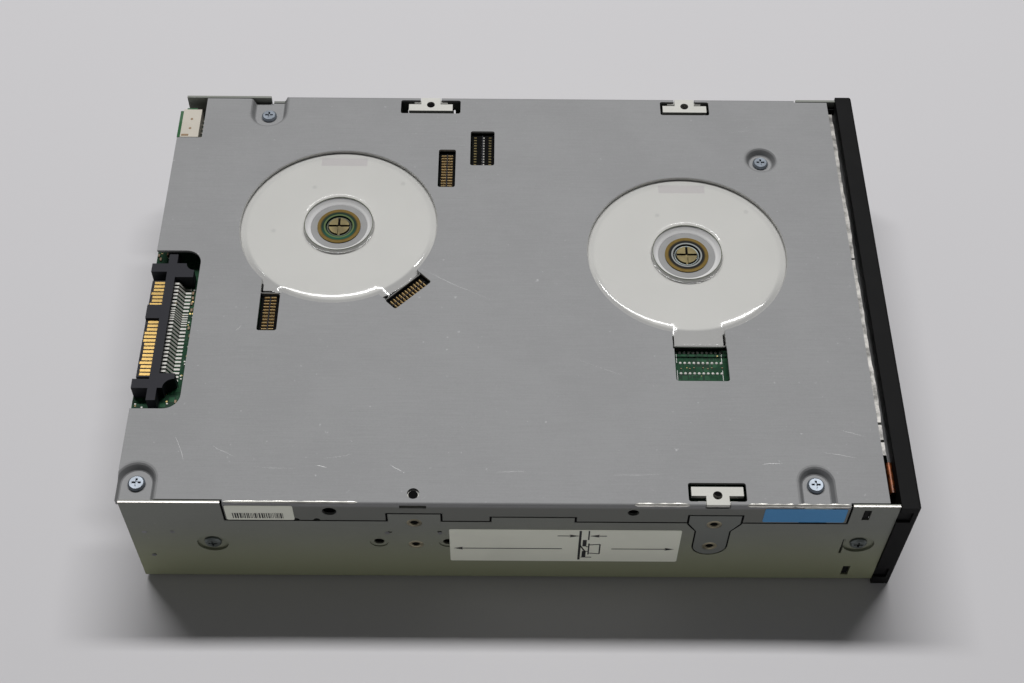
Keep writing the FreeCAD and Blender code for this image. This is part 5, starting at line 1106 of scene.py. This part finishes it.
@dataclass
class ServiceConnectorFace:
    """Two gate marks on the cream service connector."""

    places: tuple[Pair, ...] = ((2.0, 137.9), (1.9, 134.0))
    depth: float = 1.97
    radii: Pair = (0.42, 0.3)

    def build(self) -> None:
        """Each mark is a small flat dish."""
        outer, inner = (r * MM for r in self.radii)
        parts = []
        for place in self.places:
            x, y, z = DATUM.at(*place, self.depth)
            parts.append(turned([(outer, z), (inner, z + 2e-5), (1e-5, z + 2e-5)], (x, y), 16))
        add_piece("service_connector_marks", *joined(parts), Finish.TANTALUM)


@dataclass
class NearSideDetail:
    """Painted shadow strips in the gaps round the cover's flange, collars of the tapped holes, pits and
    painted highlight strips along the cover's bend.
    """

    # width and place of the painted shadow strips in the flange gaps
    gap_shadow_wide: float = 0.5
    gap_shadow_face: float = -0.06
    gap_shadow_runs: tuple[tuple[Pair, ...], ...] = (
        ((26.6, 0.9), (26.6, 9.0), (69.2, 9.0), (69.2, 5.1), (83.6, 5.1), (83.6, 9.0), (96.5, 9.0),
         (96.5, 6.7)),
        ((118.9, 6.7), (118.9, 9.0), (148.5, 9.0)), ((162.7, 9.0), (190.45, 9.0), (190.45, 0.9)),
        ((148.55, 5.3), (148.55, 9.5), (150.95, 13.7), (150.95, 21.8), (152.3, 24.9), (155.6, 26.4),
         (158.9, 24.9), (160.25, 21.8), (160.25, 13.7), (162.65, 9.5), (162.65, 5.3)))
    holes: tuple[Pair, ...] = ((76.35, 10.0), (76.35, 21.84), (155.6, 10.0), (155.6, 21.84))
    collar: tuple[Pair, ...] = (
        (1.05, -0.5), (1.1, -0.04), (1.35, 0.07), (1.75, 0.06), (2.05, 0.0), (2.1, -0.05))
    shade: tuple[Pair, ...] = ((1.1, -0.3), (0.5, -0.32), (0.001, -0.32))
    pits: tuple[Pair, ...] = ((68.9, 15.5), (83.0, 15.5), (4.1, 15.8), (11.6, 15.7), (4.4, 28.8))
    pit: tuple[Pair, ...] = ((0.68, 0.012), (0.35, 0.014), (0.001, 0.014))
    bends: tuple[tuple[float, float, float, float], ...] = (
        (134.0, 148.2, 0.0, 80.0), (163.2, 175.6, 0.0, 76.0), (175.6, 190.2, 0.0, 84.0),
        (27.2, 62.0, 0.0, 50.0))
    radius: float = 0.74
    proud: float = 0.02

    def build(self) -> None:
        """Gap shadows are flat black strips just inside the skin, collars and pits are small turned profiles.
        """
        # painted shadow: black strips laid just inside the gaps between the flange and the wall
        parts = [side_strip(a, b, self.gap_shadow_wide, self.gap_shadow_face)
                 for run in self.gap_shadow_runs for a, b in zip(run, run[1:])]
        add_piece("flange_seams", *joined(parts), Finish.PIT, smooth=False)
        for name, profile, places, steps, finish in (
                ("tapped_collars", self.collar, self.holes, 32, Finish.COLLAR),
                ("tapped_hole_shade", self.shade, self.holes, 32, Finish.PIT),
                ("wall_pits", self.pit, self.pits, 12, Finish.DARK_STEEL)):
            add_piece(name, *joined([side_ring(profile, place, steps) for place in places]), finish)
        # painted highlight: bright strips along the cover's bend where it catches the lamp
        add_piece("burnished_bends", *joined([self.bend(*run) for run in self.bends]), Finish.BEND)

    def bend(self, x0: float, x1: float, low: float, high: float) -> Mesh:
        """Painted highlight: part of a quarter circle along the cover's bend, its width wavering along its
        length.

        Args:
            x0: start, millimetres ahead of the rear edge.
            x1: end.
            low: degrees from the top where the strip starts.
            high: degrees from the top where it ends.

        Returns:
            Vertices and quads.
        """
        along = np.linspace(x0, x1, 40)[:, None]
        waver = 1.0 + 0.12 * np.sin(along * 1.7) + 0.1 * np.sin(along * 0.61 + 1.0)
        fade = np.minimum(1.0, np.minimum(along - x0, x1 - along) / 1.2 + 0.25)
        middle, half = (low + high) / 2, (high - low) / 2
        turn = np.radians(middle + half * waver * fade * np.linspace(-1, 1, 6)[None, :])
        out = self.radius * np.sin(turn) - self.radius + self.proud
        down = self.radius - self.radius * np.cos(turn) - self.proud
        flat = np.stack([np.broadcast_to(along, turn.shape).ravel(), down.ravel()], axis=1)
        return side_points(flat, out.ravel()), grid_faces(40, 6)


@dataclass
class DarkRecesses:
    """Shaded floors under the cover's holes and windows, and in the crossed slots of the spindle caps."""

    spindles: tuple[tuple[str, Pair], ...]
    holes: tuple[tuple[float, float, float, float], ...] = (
        (76.3, 3.175, 1.25, 0.7), (155.9, 4.3, 1.1, 0.5), (76.3, 142.9, 1.1, 0.5), (155.9, 141.8, 1.1, 0.5))
    skirts: tuple[tuple[float, float, float, float, float], ...] = (
        (33.2, 62.25, 5.2, 13.5, 0.0), (72.35, 69.45, 3.9, 13.6, -45.0), (82.05, 116.4, 4.8, 14.75, 0.0),
        (92.7, 124.65, 6.95, 13.65, 0.0))
    skirt_depth: float = 3.4
    skirt_height: float = 1.9
    cap_slot: Triple = (3.0, 0.64, 1.38)
    cap_start: float = 0.5
    arm_height: float = 0.2

    def build(self) -> None:
        """Discs under the holes, soft blocks under the windows and three arms in each cap."""
        discs = []
        for x, y, radius, depth in self.holes:
            cx, cy, z = DATUM.at(x, y, depth)
            discs.append(turned([(radius * MM, z), (radius * 0.5 * MM, z), (1e-6, z)], (cx, cy), 24))
        add_piece("hole_shade", *joined(discs), Finish.PIT)
        plates = []
        for x, y, long, wide, degrees in self.skirts:
            points, faces = soft_block((long, wide, self.skirt_height), 0.15)
            plates.append((spun(points, math.radians(degrees), DATUM.at(x, y, self.skirt_depth)), faces))
        add_piece("pin_block_skirts", *joined(plates), Finish.PIT, smooth=False)
        reach, wide, depth = self.cap_slot
        for name, centre in self.spindles:
            arms = []
            for degrees in (0.0, 90.0, 180.0):
                points, faces = soft_block((reach - self.cap_start, wide, self.arm_height), 0.03)
                points = points + np.array([(reach + self.cap_start) / 2 * MM, 0.0, 0.0])
                place = DATUM.at(*centre, depth + self.arm_height)
                arms.append((spun(points, math.radians(degrees), place), faces))
            add_piece(name + "_cap_slots", *joined(arms), Finish.PIT, name, smooth=False)


@dataclass
class FrontGap:
    """Raw edge of the folded sheet that glints between the cover and the front panel."""

    start: float = 200.6
    wide: float = 1.15
    depth: float = 1.25
    thick: float = 0.35
    stretches: tuple[Pair, ...] = ((16.5, 20.5), (21.3, 26.0), (26.8, 83.0), (83.6, 141.0))

    def build(self) -> None:
        """Each stretch is a ribbon whose two edges and height waver as sums of sines."""
        parts = []
        for y0, y1 in self.stretches:
            y = np.linspace(y0, y1, max(6, int((y1 - y0) * 1.5)))[:, None]
            edge = self.start + 0.03 * np.sin(y * 0.9) + 0.06 * np.sin(y * 0.13 + 2.0)
            wide = self.wide * (1.0 + 0.10 * np.sin(y * 0.21) + 0.05 * np.sin(y * 1.3 + 1.0))
            corner = np.array([[0.0, 1.0, 1.0, 0.0]])
            deep = np.array([[0.0, 0.0, 1.0, 1.0]]) * self.thick + self.depth + 0.05 * np.sin(y * 0.17)
            x = DATUM.rear + (edge + wide * corner) * MM
            across = np.broadcast_to(DATUM.near + y * MM, x.shape)
            points = np.stack([x, across, DATUM.under - deep * MM], axis=2)
            caps = np.array([[3, 2, 1, 0], 4 * len(y) - 4 + np.arange(4)])
            faces = np.vstack([grid_faces(len(y), 4, close_columns=True), caps])
            parts.append((points.reshape(-1, 3), faces))
        add_piece("front_edge_strip", *joined(parts), Finish.EDGE, smooth=False)


@dataclass
class ServiceBoard:
    """Edge of the small board that carries the service connector, and the connector's latch pocket."""

    blocks: tuple[tuple[str, Triple, Triple, Finish], ...] = (
        ("service_board_edge", (1.3, 11.0, 1.2), (-1.2, 136.0, 3.4), Finish.GREEN_EDGE),
        ("service_board_far", (3.2, 0.9, 0.8), (1.6, 142.5, 3.2), Finish.GREEN_EDGE),
        ("service_latch", (2.2, 0.8, 0.06), (0.6, 131.2, 2.0), Finish.TANTALUM))

    def build(self) -> None:
        """Each piece is a soft block: name, size, place and finish."""
        for name, size, place, finish in self.blocks:
            points, faces = soft_block(size, 0.02)
            add_piece(name, spun(points, 0.0, DATUM.at(*place)), faces, finish, smooth=False)


@dataclass
class Studio:
    """Plain pale floor, level light and the camera."""

    lens: float = 54.30
    sensor: float = 36.0
    eye: Triple = (-1.637, -271.618, 391.363)
    right: Triple = (0.99996623, 0.00259958, 0.00779667)
    down: Triple = (0.00665581, -0.81267342, -0.5826814)
    ahead: Triple = (0.00482142, 0.58271362, -0.81266327)
    floor_colour: Colour = (0.615, 0.605, 0.62)
    floor_half: float = 1.3
    world: float = 0.07
    backdrop: float = 0.42
    lamps: tuple[tuple[str, Triple, Pair, float], ...] = (
        ("strip_lamp", (0.0, 0.59, 1.41), (1.35, 0.14), 23.0),
        ("low_lamp", (0.0, -1.30, 0.16), (1.3, 0.2), 1.9))

    def camera(self) -> None:
        """Place the camera from its three axes."""
        data = bpy.data.cameras.new("camera")
        data.lens, data.sensor_width = self.lens, self.sensor
        data.clip_start = 0.01
        camera = bpy.data.objects.new("camera", data)
        up, back = tuple(-v for v in self.down), tuple(-v for v in self.ahead)
        axes = Matrix((self.right, up, back)).transposed().to_4x4()
        axes.translation = Vector(self.eye) * MM
        camera.matrix_world = axes
        bpy.context.scene.collection.objects.link(camera)
        bpy.context.scene.camera = camera

    def floor(self) -> None:
        """A large matt floor."""
        g = Graph("pale_floor")
        tone = g.noise(1.3, 2.0, 0.4)
        colour = g.mix(tone, self.floor_colour, tuple(c * 0.97 for c in self.floor_colour))
        g.surface(Base_Color=colour, Roughness=0.75)
        mesh = bpy.data.meshes.new("floor")
        half = self.floor_half
        corners = [(-half, -half, 0), (half, -half, 0), (half, half, 0), (-half, half, 0)]
        mesh.from_pydata(corners, [], [(0, 1, 2, 3)])
        mesh.materials.append(g.material)
        floor = bpy.data.objects.new("floor", mesh)
        bpy.context.scene.collection.objects.link(floor)

    def lights(self) -> None:
        """A weak fill, a long lamp above and behind, and a weak low one in front, aimed at the drive.

        The world adds a pale backdrop where the camera looks past the floor.
        """
        world = bpy.data.worlds.new("studio")
        world.use_nodes = True
        nodes, links = world.node_tree.nodes, world.node_tree.links
        background = nodes["Background"]
        background.inputs["Color"].default_value = (0.97, 0.98, 1.0, 1.0)
        path = nodes.new("ShaderNodeLightPath")
        strength = nodes.new("ShaderNodeMath")
        strength.operation = "MULTIPLY_ADD"
        strength.inputs[1].default_value = self.backdrop
        strength.inputs[2].default_value = self.world
        links.new(path.outputs["Is Camera Ray"], strength.inputs[0])
        links.new(strength.outputs[0], background.inputs["Strength"])
        bpy.context.scene.world = world
        for name, place, size, power in self.lamps:
            data = bpy.data.lights.new(name, "AREA")
            data.shape = "RECTANGLE"
            data.size, data.size_y = size
            data.energy = power
            lamp = bpy.data.objects.new(name, data)
            lamp.location = place
            lamp.rotation_euler = (-Vector(place)).to_track_quat("-Z", "Y").to_euler()
            bpy.context.scene.collection.objects.link(lamp)

    def build(self) -> None:
        """Set camera, floor and lights."""
        bpy.context.scene.view_settings.view_transform = "Standard"
        self.camera()
        self.floor()
        self.lights()


@dataclass
class TapeDrive:
    """The whole drive: dressed CAD nodes and the detail pieces."""

    takeup: Pair = (50.85, 94.2)
    supply: Pair = (152.75, 84.2)
    takeup_necks: tuple[Neck, ...] = (
        ((-20.65, -14.45, -25.7, -18.2), 0.0), ((-9.0, 4.7, -31.0, -20.0), 45.0))
    supply_necks: tuple[Neck, ...] = (((-6.05, 8.85, -33.4, -26.2), 0.0),)
    takeup_shoulders: tuple[Pair, ...] = (
        (-160, 1.4), (-149, 1.7), (-138, 1.9), (-120, 2.0), (-113, 2.6), (-99, 3.15), (-80, 3.4), (-68, 4.1),
        (-62, 3.7), (-56, 2.5), (-45, 2.0), (-20, 1.7), (10, 2.1), (47, 2.9), (90, 2.9), (127, 2.1),
        (175, 1.8))
    supply_shoulders: tuple[Pair, ...] = (
        (-166, 1.4), (-142, 1.5), (-129, 2.0), (-115, 2.6), (-99, 2.75), (-90, 2.5), (-77, 2.75), (-70, 3.4),
        (-51, 3.0), (-43, 1.7), (-25, 1.7), (0, 2.4), (66, 2.7), (108, 3.6), (130, 3.0), (175, 1.6))
    takeup_dots: tuple[Pair, ...] = ((-8.3, 15.2), (18.1, 16.9), (-19.2, -1.8))
    supply_dots: tuple[Pair, ...] = ((-7.8, 15.1), (18.7, 16.7))
    slanted: Pair = (72.35, 69.45)
    slanted_half: Pair = (7.0, 2.15)

    def dress_nodes(self) -> None:
        """Give every CAD node its finish."""
        for finish, names in NODE_FINISH.items():
            for name in names:
                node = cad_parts[name]
                for slot in range(max(1, len(node.material_slots))):
                    if not node.material_slots:
                        node.data.materials.append(finish.get())
                    node.material_slots[slot].material = finish.get()
        axes = tuple(DATUM.at(*centre)[:2] for centre in (self.takeup, self.supply))
        special = {"takeup_motor_board": MotorLaminate("takeup_face", axes[0], self.takeup_dots),
                   "supply_motor_board": MotorLaminate("supply_face", axes[1], self.supply_dots),
                   "spindle_bearings": HubRings("bearing_rings", axes)}
        for name, finish in special.items():
            material = finish.material()
            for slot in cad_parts[name].material_slots:
                slot.material = material

    def slanted_window(self) -> tuple[Pair, ...]:
        """Corners of the slanted pin window."""
        half_long, half_wide = self.slanted_half
        u = np.array([1.0, 1.0]) / math.sqrt(2)
        v = np.array([1.0, -1.0]) / math.sqrt(2)
        return tuple(tuple(np.array(self.slanted) + u * a * half_long + v * b * half_wide)
                     for a, b in ((-1, -1), (1, -1), (1, 1), (-1, 1)))

    def pieces(self) -> tuple:
        """The detail pieces, in the order in which they are built."""
        stops = (self.slanted_window(),)
        spindles = (("takeup", self.takeup), ("supply", self.supply))
        return (MotorFilm("takeup_film", self.takeup, self.takeup_necks, stops, self.takeup_shoulders),
                MotorFilm("supply_film", self.supply, self.supply_necks, (), self.supply_shoulders),
                SpindleEnd("takeup", self.takeup, Finish.RACE),
                SpindleEnd("supply", self.supply, Finish.SUNK),
                PinWindow("window_1", (33.2, 62.25), 12.6),
                PinWindow("window_2", self.slanted, 12.6, math.radians(-45), (-0.85, 0.85), 1.35),
                PinWindow("window_3", (82.05, 116.4), 13.4),
                PinWindow("window_4", (92.7, 124.65), 12.6, rows=(-2.2, 0.2, 2.3), width=0.8,
                          finishes=(Finish.BRASS, Finish.TIN, Finish.BRASS), arch=0.25),
                DriveBoardFace(), BoardDetail(), LabelPrint(), Scratches(), ServiceConnectorFace(),
                NearSideDetail(), DarkRecesses(spindles), FrontGap(), ServiceBoard())

    def build(self) -> None:
        """Dress the CAD nodes, then build every piece in order."""
        self.dress_nodes()
        for piece in self.pieces():
            piece.build()


def main() -> None:
    """Build the studio and the drive."""
    Studio().build()
    TapeDrive().build()


if __name__ == "__main__":
    main()
